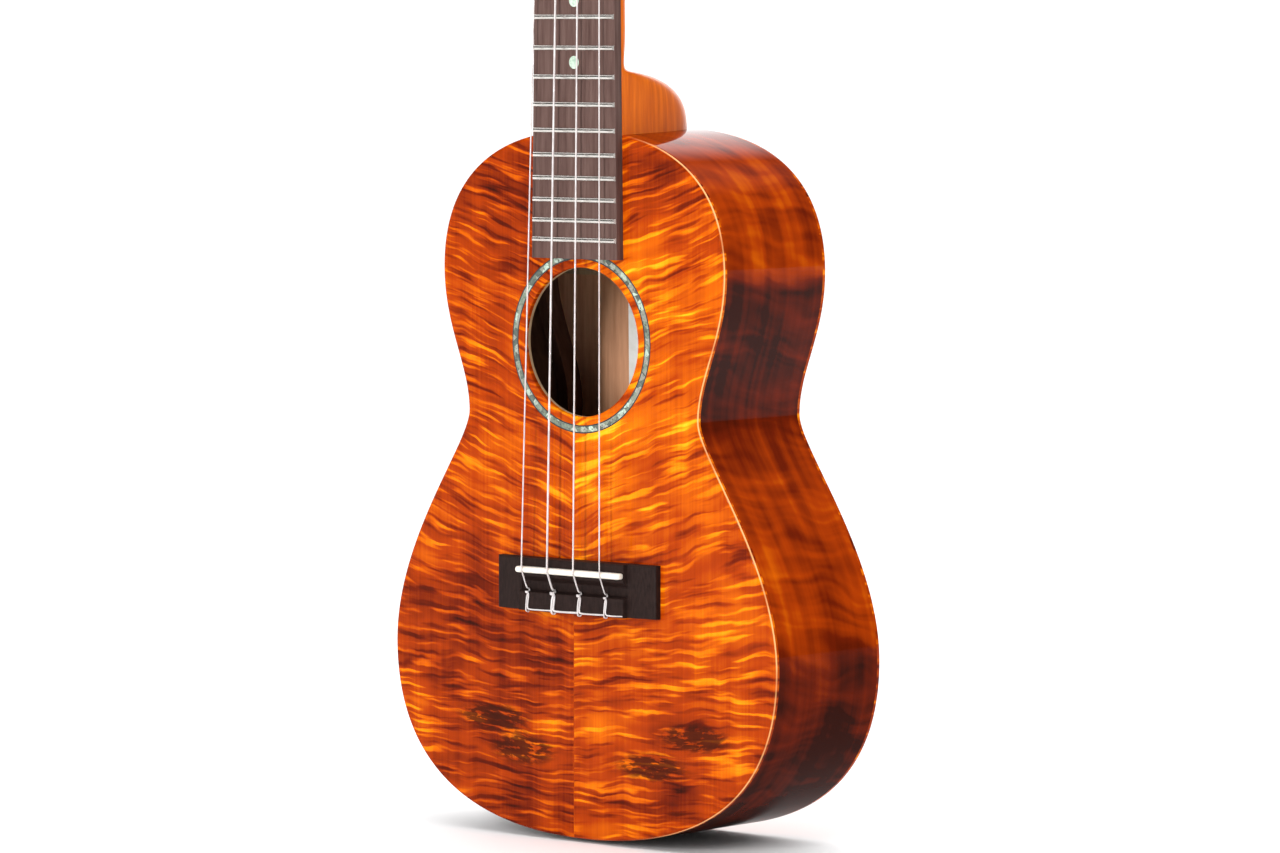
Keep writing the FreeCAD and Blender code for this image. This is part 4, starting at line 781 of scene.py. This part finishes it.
class Nodes:
    """The nodes of one material or world, added one by one through node and math."""

    def __init__(self, owner):
        owner.use_nodes = True
        self.tree = owner.node_tree

    def node(self, kind, settings=None, sockets=None):
        """A shader node of any kind, with its settings made first and then its sockets set or linked."""
        made = self.tree.nodes.new("ShaderNode" + kind)
        for key, value in (settings or {}).items():
            if key == "stops":
                ramp = made.color_ramp.elements
                while len(ramp) < len(value):
                    ramp.new(0.5)
                for stop, (place, colour) in zip(ramp, value):
                    stop.position = place
                    stop.color = (*colour, 1)
            else:
                setattr(made, key, value)
        self.feed(made, sockets or {})
        return made

    def feed(self, node, sockets):
        """Links the node's sockets to terms and other sockets, and sets the rest to plain values."""
        for key, value in sockets.items():
            source = value.socket if isinstance(value, Term) else value
            if isinstance(source, bpy.types.NodeSocket):
                self.tree.links.new(source, node.inputs[key])
            else:
                node.inputs[key].default_value = value

    def math(self, operation, *values):
        """Result of one arithmetic node."""
        made = self.node("Math", {"operation": operation}, dict(enumerate(values)))
        return Term(self, made.outputs[0])

    def coordinates(self, kind):
        """The three numbers of a coordinate output: Object or Generated."""
        vector = self.node("TexCoord").outputs[kind]
        split = self.node("SeparateXYZ", None, {0: vector})
        return [Term(self, split.outputs[k]) for k in range(3)]

    def point(self, x, y, z):
        """The three numbers joined to one vector."""
        return self.node("CombineXYZ", None, {0: x, 1: y, 2: z}).outputs[0]

    def noise(self, x, y, z, detail=2.0, roughness=0.5, distortion=0.0, scale=1.0):
        """Cloudy value from 0 to 1, about one swell for each unit of x, y and z."""
        made = self.node("TexNoise", None, {"Vector": self.point(x, y, z), "Scale": scale,
                                                      "Detail": detail, "Roughness": roughness,
                                                      "Distortion": distortion})
        return Term(self, made.outputs[0])

    def ramp(self, value, stops):
        """Colour at a value from 0 to 1, blended between (place, colour) stops."""
        return self.node("ValToRGB", {"stops": stops}, {0: value}).outputs[0]

    def between(self, value, low, high, to_low=0.0, to_high=1.0):
        """Value carried from one range to another, with smooth ends."""
        made = self.node("MapRange", {"interpolation_type": "SMOOTHSTEP"},
                         {0: value, 1: low, 2: high, 3: to_low, 4: to_high})
        return Term(self, made.outputs[0])

    def mix(self, share, first, second):
        """Blend of two colours."""
        return self.node("Mix", {"data_type": "RGBA"}, {0: share, 6: first, 7: second}).outputs[2]

    def bump(self, height, strength, distance):
        """Normal of a surface with this relief."""
        sockets = {"Height": height, "Strength": strength, "Distance": distance}
        return self.node("Bump", None, sockets).outputs[0]


class Finish(Nodes):
    """One material: a Principled shader and the nodes that vary it over the piece."""

    def __init__(self, name):
        self.material = bpy.data.materials.new(name)
        super().__init__(self.material)
        self.shader = self.tree.nodes["Principled BSDF"]

    def place(self):
        """x, y and z of the point on the piece, in millimetres."""
        return [number * 1000.0 for number in self.coordinates("Object")]

    def shade(self, **sockets):
        """Sets or links the shader's sockets; an underscore stands for a space."""
        self.feed(self.shader, {key.replace("_", " "): value for key, value in sockets.items()})
        return self.material


def hill(finish, x, z, centre_x, centre_z, wide, tall):
    """1 at a place on the soundboard, falling to 0 round it: exp(-(dx/wide)^2 - (dz/tall)^2)."""
    across = (x - centre_x) / wide
    along = (z - centre_z) / tall
    return finish.math("EXPONENT", 0.0 - across * across - along * along)


KOA = [(0.0, (0.028, 0.0035, 0.001)), (0.2, (0.13, 0.0105, 0.0012)), (0.4, (0.34, 0.036, 0.0014)),
       (0.58, (0.57, 0.102, 0.0015)), (0.76, (0.85, 0.240, 0.003)), (0.92, (1.0, 0.43, 0.012)),
       (1.0, (1.0, 0.56, 0.06))]
LACQUER = dict(Coat_Weight=0.8, Coat_Roughness=0.03, Coat_IOR=1.15, Specular_IOR_Level=0.0)

# Lighter and darker areas of the soundboard: middle x and z, half width, half height (mm) and how much
SHADING = [
    (35, 160, 45, 30, 0.08), (-60, 128, 22, 18, 0.06), (38, 214, 24, 20, 0.10), (-52, 214, 18, 14, 0.08),
    (0, 148, 26, 20, 0.08), (26, 264, 40, 16, -0.16), (-40, 258, 30, 20, -0.14), (-52, 42, 26, 16, -0.06),
    (58, 42, 24, 15, -0.08), (-25, 18, 34, 14, -0.13), (42, 22, 34, 15, -0.17), (-62, 88, 30, 22, -0.15),
    (-40, 60, 44, 18, -0.09), (45, 78, 45, 28, -0.07),
]
# Dark knots: middle x and z, half width and half height (mm)
KNOTS = [(-46, 45, 17, 5), (-30, 33, 15, 5.5), (58, 44, 16, 5), (36, 31, 16, 5)]


def koa_plate(name, seam, middle_tone, shading, knots):
    """Flamed koa, book-matched about the seam: cross stripes that fall towards it, over long grain. A pale
    orange line on the treble side's rounded front edge is a painted highlight.
    """
    finish = Finish(name)
    x, y, z = finish.place()
    noise, between = finish.noise, finish.between
    from_seam = finish.math("ABSOLUTE", x - seam)
    treble = between(x, seam - 0.2, seam + 0.2)
    grain = noise(x / 1.1, treble, z / 50, detail=3.0, roughness=0.6)
    column = noise(from_seam / 9, treble + 3.0, z / 60, detail=1.5)
    warp = noise(from_seam / 34, treble * 3.1, z / 22, detail=1.0) - 0.5
    slope = between(z, 45.0, 165.0, 0.05, 0.32)
    stripe = z - from_seam * slope + warp * 7.0 + (column - 0.5) * 2.2
    broad = noise(from_seam / 34, treble * 1.7, stripe / 5.0, detail=1.0)
    light = noise(from_seam / 22, treble * 2.3 + 5.0, stripe / 1.9, detail=1.5, roughness=0.45)
    deep = noise(from_seam / 24, treble * 2.9 + 8.0, stripe / 2.2, detail=1.5, roughness=0.45)
    patch = noise(from_seam / 30, treble * 4.0 + 9.0, z / 20, detail=1.5)
    lively = noise(from_seam / 24, treble * 5.0 + 2.0, z / 15, detail=1.0)
    flare = between(light, 0.50, 0.66) * between(lively, 0.30, 0.62, 0.35, 1.0)
    shade = between(deep, 0.50, 0.68) * between(lively, 0.38, 0.70, 1.0, 0.35)
    tone = middle_tone + (patch - 0.5) * 0.42 + (broad - 0.5) * 0.34 + flare * 0.30 - shade * 0.20 \
        + (grain - 0.5) * 0.17 + (column - 0.5) * 0.22 + treble * 0.07
    for place_x, place_z, wide, tall, gain in shading:
        tone = tone + hill(finish, x, z, place_x, place_z, wide, tall) * gain
    colour = finish.ramp(tone, KOA)
    if knots:
        nearness = sum(hill(finish, x, z, *knot) for knot in knots)
        torn = noise(x / 7, 3.0, stripe / 1.7, detail=3.0, roughness=0.6)
        smudge = between(nearness * between(torn, 0.32, 0.56), 0.10, 0.55)
        colour = finish.mix(smudge * 0.85, colour, (0.035, 0.006, 0.0015, 1))
    face = FACE_Y / MM
    # Painted highlight: a pale orange line on the rounded front edge of the treble side, standing in for
    # the lacquer's reflection of the key light.
    painted_edge_highlight = between(y, face + 0.2, face + 0.5) \
        * between(y, face + 0.7, face + 1.0, 1.0, 0.0) \
        * between(x, 20.0, 52.0) * between(patch, 0.3, 0.55, 0.4, 1.0)
    colour = finish.mix(painted_edge_highlight * 0.8, colour, (1.0, 0.52, 0.20, 1))
    ripple = noise(x / 14, y, z / 14, detail=1.0)
    return finish.shade(Base_Color=colour, Roughness=0.32 + (grain - 0.5) * 0.1,
                        Normal=finish.bump(ripple, 0.04, 0.002), **LACQUER)


# Light and dark stretches up the bent sides, partly the koa's figure and partly painted shade and
# highlight: darker towards the tail and across the waist, lighter above the widest point of each bout, as
# (share of 280 mm up from the tail, grey level)
SIDE_FIGURE_AND_SHADE_LEVELS = [(share, (level,) * 3) for share, level in (
    (0.0, 0.12), (0.13, 0.18), (0.20, 0.28), (0.25, 0.34), (0.29, 0.70), (0.45, 0.76),
    (0.56, 0.55), (0.61, 0.30), (0.77, 0.30), (0.80, 0.80), (0.92, 0.78), (1.0, 0.55))]


def koa_side(name, lightness=0.0, figure_and_shade_banding=0.66):
    """Koa of the sides and the headstock's face: dark streaks along the length, crossed by flame. On the
    sides, lighter and darker stretches up the length are partly figure and partly painted shade and
    highlight.
    """
    finish = Finish(name)
    x, y, z = finish.place()
    noise = finish.noise
    along = noise(x / 60, y / 11 + z / 300, z / 90, detail=1.5)
    streak = noise(x / 60 + 7.0, y / 3.6 + z / 140, z / 80, detail=1.0)
    patch = noise(x / 50, y / 36, z / 26, detail=1.5)
    flame = noise(x / 26, y / 30, (z + y * 0.15 + patch * 22.0) / 4.4, detail=1.0)
    tone = 0.22 + lightness + (along - 0.5) * 0.40 + (patch - 0.5) * 0.36 + (flame - 0.5) * 0.34 \
        + (streak - 0.5) * 0.20
    # Painted shade and highlight, partly figure: the sides get darker towards the tail and across the
    # waist, and lighter above each bout's widest point.
    level = finish.ramp(z / 280.0 + (patch - 0.5) * 0.06, SIDE_FIGURE_AND_SHADE_LEVELS)
    share = Term(finish, finish.node("SeparateColor", None, {0: level}).outputs[0])
    tone = tone + (share - 0.5) * figure_and_shade_banding
    colour = finish.ramp(tone, KOA)
    ripple = noise(x / 20, y / 16, z / 20, detail=1.0)
    gloss = dict(LACQUER, Coat_Weight=finish.between(z, 60.0, 150.0, 0.35, 0.95))
    return finish.shade(Base_Color=colour, Roughness=0.32 + (flame - 0.5) * 0.1,
                        Normal=finish.bump(ripple, 0.05, 0.002), **gloss)


def wood(name, stops, length, width, gloss=0.0, roughness=0.5, bump=0.15, pore=0.4, shine=0.08):
    """Plain wood with its grain along z: long streaks in a ramp of colours, fine pores in the bump."""
    finish = Finish(name)
    x, y, z = finish.place()
    streak = finish.noise(x / width, y / width, z / length, detail=4.0, roughness=0.6)
    pores = finish.noise(x / pore, y / pore, z / (pore * 18), detail=2.0, roughness=0.6)
    colour = finish.ramp(streak * 0.8 + pores * 0.2, stops)
    return finish.shade(Base_Color=colour, Roughness=roughness + (pores - 0.5) * 0.2, Coat_Weight=gloss,
                        Coat_Roughness=0.05, Coat_IOR=1.15, Specular_IOR_Level=shine,
                        Normal=finish.bump(pores, bump, 0.0002))


def plain(name, first, second, roughness, metallic=0.0, coat=0.0, scale=3.0, bump=0.03,
          transmission=0.0):
    """Material of one colour, clouded and lightly scratched."""
    finish = Finish(name)
    x, y, z = finish.place()
    cloud = finish.noise(x / scale, y / scale, z / scale, detail=3.0)
    scratch = finish.noise(x * 2.2, y * 2.2, z / 1.5, detail=2.0, roughness=0.7)
    colour = finish.mix(finish.between(cloud, 0.3, 0.7), (*first, 1), (*second, 1))
    return finish.shade(Base_Color=colour, Roughness=roughness + (scratch - 0.5) * roughness * 0.6,
                        Metallic=metallic, Coat_Weight=coat, Transmission_Weight=transmission,
                        Normal=finish.bump(scratch, bump, 0.0001))


def abalone(name):
    """Shell inlay: short blocks of pale green, grey and rose between darker veins."""
    finish = Finish(name)
    x, y, z = finish.place()
    block = finish.node("TexVoronoi", None, {"Vector": finish.point(x, y, z), "Scale": 0.35})
    vein = finish.noise(x / 1.4, 0.0, z / 1.4, detail=4.0, roughness=0.65, distortion=0.6)
    hue = finish.node("SeparateColor", None, {0: block.outputs["Color"]}).outputs[0]
    pearl = finish.ramp(Term(finish, hue) * 0.6 + vein * 0.5, [
        (0.0, (0.03, 0.04, 0.035)), (0.3, (0.07, 0.09, 0.07)), (0.5, (0.18, 0.23, 0.16)),
        (0.66, (0.26, 0.24, 0.20)), (0.82, (0.42, 0.55, 0.44)), (1.0, (0.70, 0.84, 0.74))])
    dark = finish.between(vein, 0.34, 0.46, 1.0, 0.0)
    colour = finish.mix(dark * 0.75, pearl, (0.03, 0.03, 0.028, 1))
    return finish.shade(Base_Color=colour, Roughness=0.22, Metallic=0.25, Coat_Weight=1.0,
                        Coat_Roughness=0.03)


# ================= pieces =================

def faces_back(_, normals):
    """Faces that look to the back."""
    return normals[:, 1] > 0.9


def faces_front(_, normals):
    """Faces that look to the front."""
    return normals[:, 1] < -0.9


def faces_middle(middles, normals):
    """Faces that look towards the upright line through the body's middle."""
    return (normals[:, [0, 2]] * (middles[:, [0, 2]] - [0, BODY_LENGTH / 2])).sum(1) < 0


koa_front = koa_plate("koa_soundboard", SEAM_X / MM, 0.375, SHADING, KNOTS)
koa_ribs = koa_side("koa_ribs")
koa_back = koa_plate("koa_back", 0.0, 0.34, [], [])
koa_face = koa_side("koa_veneer", 0.16, 0.0)

MAHOGANY = [(0.2, (0.42, 0.066, 0.002)), (0.5, (0.66, 0.125, 0.003)), (0.75, (0.86, 0.20, 0.005))]
mahogany = wood("lacquered_mahogany", MAHOGANY, 40, 3.0, gloss=0.6, roughness=0.35, bump=0.03)
inner_wood = wood("bare_mahogany", [(0.3, (0.10, 0.045, 0.028)), (0.7, (0.18, 0.09, 0.06))], 40, 3.0)
# The bare koa inside the body comes as two copies that differ by how light falls inside, not by wood: a
# light one on the back's inside, and a much darker one on the soundboard's underside and the ribs' inside,
# whose darkness is painted shade.
inner_back = wood("bare_koa_inside", [(0.3, (0.46, 0.21, 0.11)), (0.7, (0.70, 0.38, 0.22))], 40, 3.0)
inner_shaded_koa = wood("shaded_koa_inside", [(0.3, (0.06, 0.028, 0.018)), (0.7, (0.11, 0.055, 0.035))], 40, 3.0)
spruce = wood("spruce", [(0.3, (0.34, 0.21, 0.11)), (0.7, (0.46, 0.32, 0.19))], 60, 0.9)
rosewood = wood("rosewood", [(0.25, (0.058, 0.031, 0.026)), (0.5, (0.098, 0.056, 0.048)),
                             (0.75, (0.138, 0.086, 0.073))], 30, 1.6, roughness=0.46, bump=0.35, pore=0.3)
bridge_wood = wood("bridge_wood", [(0.3, (0.010, 0.0055, 0.0048)), (0.7, (0.024, 0.013, 0.011))],
                   3.0, 0.8, roughness=0.5, bump=0.3)
bone = plain("bone", (0.72, 0.68, 0.58), (0.84, 0.81, 0.73), 0.32, coat=0.3)
pearl = plain("pearl_dots", (0.30, 0.42, 0.33), (0.52, 0.64, 0.52), 0.25, coat=0.8, scale=1.2)
black_line = plain("black_line", (0.004, 0.004, 0.004), (0.012, 0.012, 0.012), 0.5, coat=0.1)
nickel = plain("nickel_silver", (0.58, 0.55, 0.51), (0.70, 0.67, 0.63), 0.25, metallic=1.0)
chrome = plain("chrome", (0.34, 0.35, 0.37), (0.42, 0.43, 0.45), 0.18, metallic=1.0)
brass = plain("brass", (0.62, 0.45, 0.16), (0.72, 0.55, 0.25), 0.3, metallic=1.0)
steel = plain("bolt_steel", (0.42, 0.42, 0.43), (0.56, 0.56, 0.57), 0.35, metallic=1.0)
nylon = plain("clear_nylon", (0.62, 0.56, 0.55), (0.78, 0.73, 0.72), 0.25, coat=0.3, scale=6.0,
              transmission=0.25)
button_pearl = plain("button_pearl", (0.50, 0.47, 0.40), (0.66, 0.63, 0.56), 0.25, coat=0.4, scale=2.0)
paper = plain("label_paper", (0.84, 0.82, 0.76), (0.92, 0.91, 0.87), 0.85, scale=4.0, bump=0.2)
shell_inlay = abalone("shell_inlay")

for side, name in ((-1, "bass"), (1, "treble")):
    piece("soundboard_%s_skin" % name, [soundboard_half(side, SEAM_X)], koa_front,
          stands_for=["soundboard_" + name], slot="koa_top", inner=(inner_shaded_koa, faces_back))
    piece("rib_%s_skin" % name, [rib_half(side)], koa_ribs, stands_for=["rib_" + name], slot="koa_sides",
          inner=(inner_shaded_koa, faces_middle))
    piece("back_%s_skin" % name, [back_half(side)], koa_back, stands_for=["back_" + name], slot="koa_back",
          inner=(inner_back, faces_front))

shell_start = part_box("rosette_inner_line")[1].x
shell_end = SHELL_HIGH.x
line_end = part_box("rosette_outer_line")[1].x
line_start = shell_start - (line_end - shell_end)
ROSETTE = [("black_inside", "inner_line", line_start, shell_start, black_line, "black_line"),
           ("shell_ring", "shell", shell_start, shell_end, shell_inlay, "shell_inlay"),
           ("black_outside", "outer_line", shell_end, line_end, black_line, "black_line")]
for name, node, inner, outer, finish, slot in ROSETTE:
    ring = flat_ring(inner, outer, FACE_Y - INLAY_PROUD, FACE_Y + INLAY_DEPTH)
    piece("rosette_" + name, [ring], finish, stands_for=["rosette_" + node], slot=slot)

head = tilted(slab(head_outline(), FACE_Y, FACE_Y + HEAD_THICKNESS, 1.0 * MM))
veneer = tilted(slab(head_outline(), FACE_Y - VENEER, FACE_Y, 0.4 * MM))
piece("neck_and_heel", [neck_shaft(), closed(head)], mahogany, stands_for=["neck"], slot="mahogany")
piece("headstock_face", [closed(veneer)], koa_face, stands_for=["headstock_veneer"], slot="koa_veneer")

board_z = np.linspace(BOARD_LOW.z, NUT_LOW.z, 12)
piece("fretboard_wood", [rounded_bar(board_half_width(board_z), board_z, BOARD_LOW.y, FACE_Y, 0.25 * MM)],
      rosewood, stands_for=["fretboard"], slot="rosewood")

bars = [fret_bar(fret_z(number)) for number in range(1, FRET_COUNT + 1)]
piece("fret_wires", bars, nickel, stands_for=["frets"], slot="fret_wire")
dots = [fret_dot(number) for number in DOT_FRETS]
piece("fret_dot_inlays", dots, pearl, stands_for=["fret_dots"], slot="pearl_dots")

piece("bridge_block", [bridge_surface()], bridge_wood, stands_for=["bridge"], slot="bridge_wood")
piece("saddle_bone", [saddle_bar()], bone, stands_for=["saddle"], slot="bone")
for name in STRINGS:
    piece("string_%s_strand" % name, [tube(string_path(name), STRING_RADII[name])], nylon,
          stands_for=["string_" + name], slot="string_nylon")
for name in STRINGS:
    post_body, key_body = "string_post_" + name, "tuning_key_" + name
    post = lathe(post_profile(STRING_RADII[name]), string_places(name)[2], HEAD_OUT)
    coil = tube(winding(name), STRING_RADII[name] * 0.98, 10)
    piece("post_%s_metal" % name, [post], chrome, post_body, ["post_" + name], "tuner_chrome")
    piece("winding_%s" % name, [coil], nylon, post_body, slot="string_nylon")
    piece("button_%s_grip" % name, [button_grip(name)], button_pearl, key_body, ["button_" + name],
          "key_buttons", crease=60)
    smoothed("worm_shaft_%s_metal" % name, "worm_shaft_" + name, chrome, key_body, "tuner_chrome")
    smoothed("worm_wheel_%s_metal" % name, "worm_wheel_" + name, brass, post_body, "wheel_brass")
SMOOTHED = [("tuner_bushing_sleeves", "tuner_bushings", chrome, "tuner_chrome"),
            ("tuner_cover_shells", "tuner_covers", chrome, "tuner_chrome"),
            ("tuner_screw_heads", "tuner_screws", chrome, "tuner_chrome"),
            ("tuner_base_plates", "tuner_plates", chrome, "tuner_chrome"),
            ("neck_bolt_steel", "neck_bolt", steel, "bolt_steel"),
            ("neck_washer_steel", "neck_washer", steel, "bolt_steel"),
            ("neck_insert_brass", "neck_insert", brass, "wheel_brass"),
            ("nut_bone", "nut", bone, "bone")]
for name, node, finish, slot in SMOOTHED:
    smoothed(name, node, finish, BODY, slot)

CARRIED = [
    (inner_wood, ["top_linings", "back_linings", "neck_block", "tail_block", "back_seam_strip"]),
    (spruce, ["upper_cross_brace", "lower_cross_brace", "fan_braces", "back_braces", "bridge_plate",
              "soundhole_patch"]),
    (paper, ["blank_label"]),
    (pearl, ["side_dots"]),
]
for finish, nodes in CARRIED:
    for name in nodes:
        coat(frame["nodes"][name].data, finish)


# ================= floor, light and camera =================

FLOOR_SIZE = 30.0
FLOOR_Z = -0.0015
BODY_MIDDLE = 0.17  # height that the lights aim at
SKY = 2.3
BACKDROP = 1.9
DIM = 0.12
AWAY_X, AWAY_Y = 0.654, 0.757  # level direction away from the camera, towards the bass side and the back
VIEW_DISTANCE = 2.364  # from the soundboard's middle line
VIEW_PLACE = math.radians(40.961)  # how far round to the treble side the camera stands
VIEW_TURN = math.radians(40.401)  # and which way it looks
VIEW_TILT = math.radians(-3.854)
VIEW_ABOVE_BRIDGE = 0.2133



def area_light(name, azimuth, height, distance, width, tall, power):
    """Soft light aimed at the body: azimuth turns from the front towards the treble side, in degrees."""
    light = bpy.data.lights.new(name, "AREA")
    light.shape = "RECTANGLE"
    light.size = width
    light.size_y = tall
    light.energy = power
    lamp = in_scene(name, light)
    angle = math.radians(azimuth)
    lamp.location = (distance * math.sin(angle), -distance * math.cos(angle), height)
    x, y, z = np.array([0, 0, BODY_MIDDLE]) - np.array(lamp.location)
    lamp.rotation_euler = (math.pi / 2 + math.atan2(z, math.hypot(x, y)), 0, math.atan2(-x, y))


def floor():
    """Wide pale floor just under the tail."""
    finish = Finish("pale_floor")
    x, y, z = finish.place()
    cloud = finish.noise(x / 400, y / 400, z, detail=2.0)
    pale = finish.mix(cloud, (0.90, 0.90, 0.90, 1), (0.94, 0.94, 0.94, 1))
    finish.shade(Base_Color=pale, Roughness=0.7)
    mesh = bpy.data.meshes.new("floor")
    corners = [(-1, -1), (1, -1), (1, 1), (-1, 1)]
    mesh.from_pydata([(x * FLOOR_SIZE, y * FLOOR_SIZE, FLOOR_Z) for x, y in corners], [], [(0, 1, 2, 3)])
    mesh.materials.append(finish.material)
    in_scene("floor", mesh)


def studio_world():
    """Bright overhead and behind the object, dim at the sides and in front: the lacquer keeps its depth."""
    world = bpy.data.worlds.new("studio")
    studio = Nodes(world)
    x, y, z = studio.coordinates("Generated")
    sky = studio.between(z, 0.55, 0.85)
    backdrop = studio.between(y * AWAY_Y - x * AWAY_X, 0.72, 0.90)
    light = studio.math("MAXIMUM", sky * SKY, backdrop * BACKDROP)
    strength = studio.math("MAXIMUM", light, DIM)
    studio.feed(studio.tree.nodes["Background"], {0: (1, 1, 1, 1), 1: strength})
    bpy.context.scene.world = world


floor()
studio_world()
area_light("key_light", azimuth=12, height=1.0, distance=3.2, width=0.25, tall=2.0, power=100)
area_light("side_light", azimuth=118, height=1.7, distance=2.2, width=0.8, tall=0.8, power=14)

camera = bpy.data.cameras.new("camera")
camera.sensor_width = 36
camera.lens = 170.477
camera.clip_end = 100
view = in_scene("camera", camera)
view.location = (VIEW_DISTANCE * math.sin(VIEW_PLACE), FACE_Y - VIEW_DISTANCE * math.cos(VIEW_PLACE),
                 BRIDGE_LINE + VIEW_ABOVE_BRIDGE)
view.rotation_euler = (math.pi / 2 + VIEW_TILT, 0, VIEW_TURN)
bpy.context.scene.camera = view
bpy.context.scene.view_settings.view_transform = "Standard"
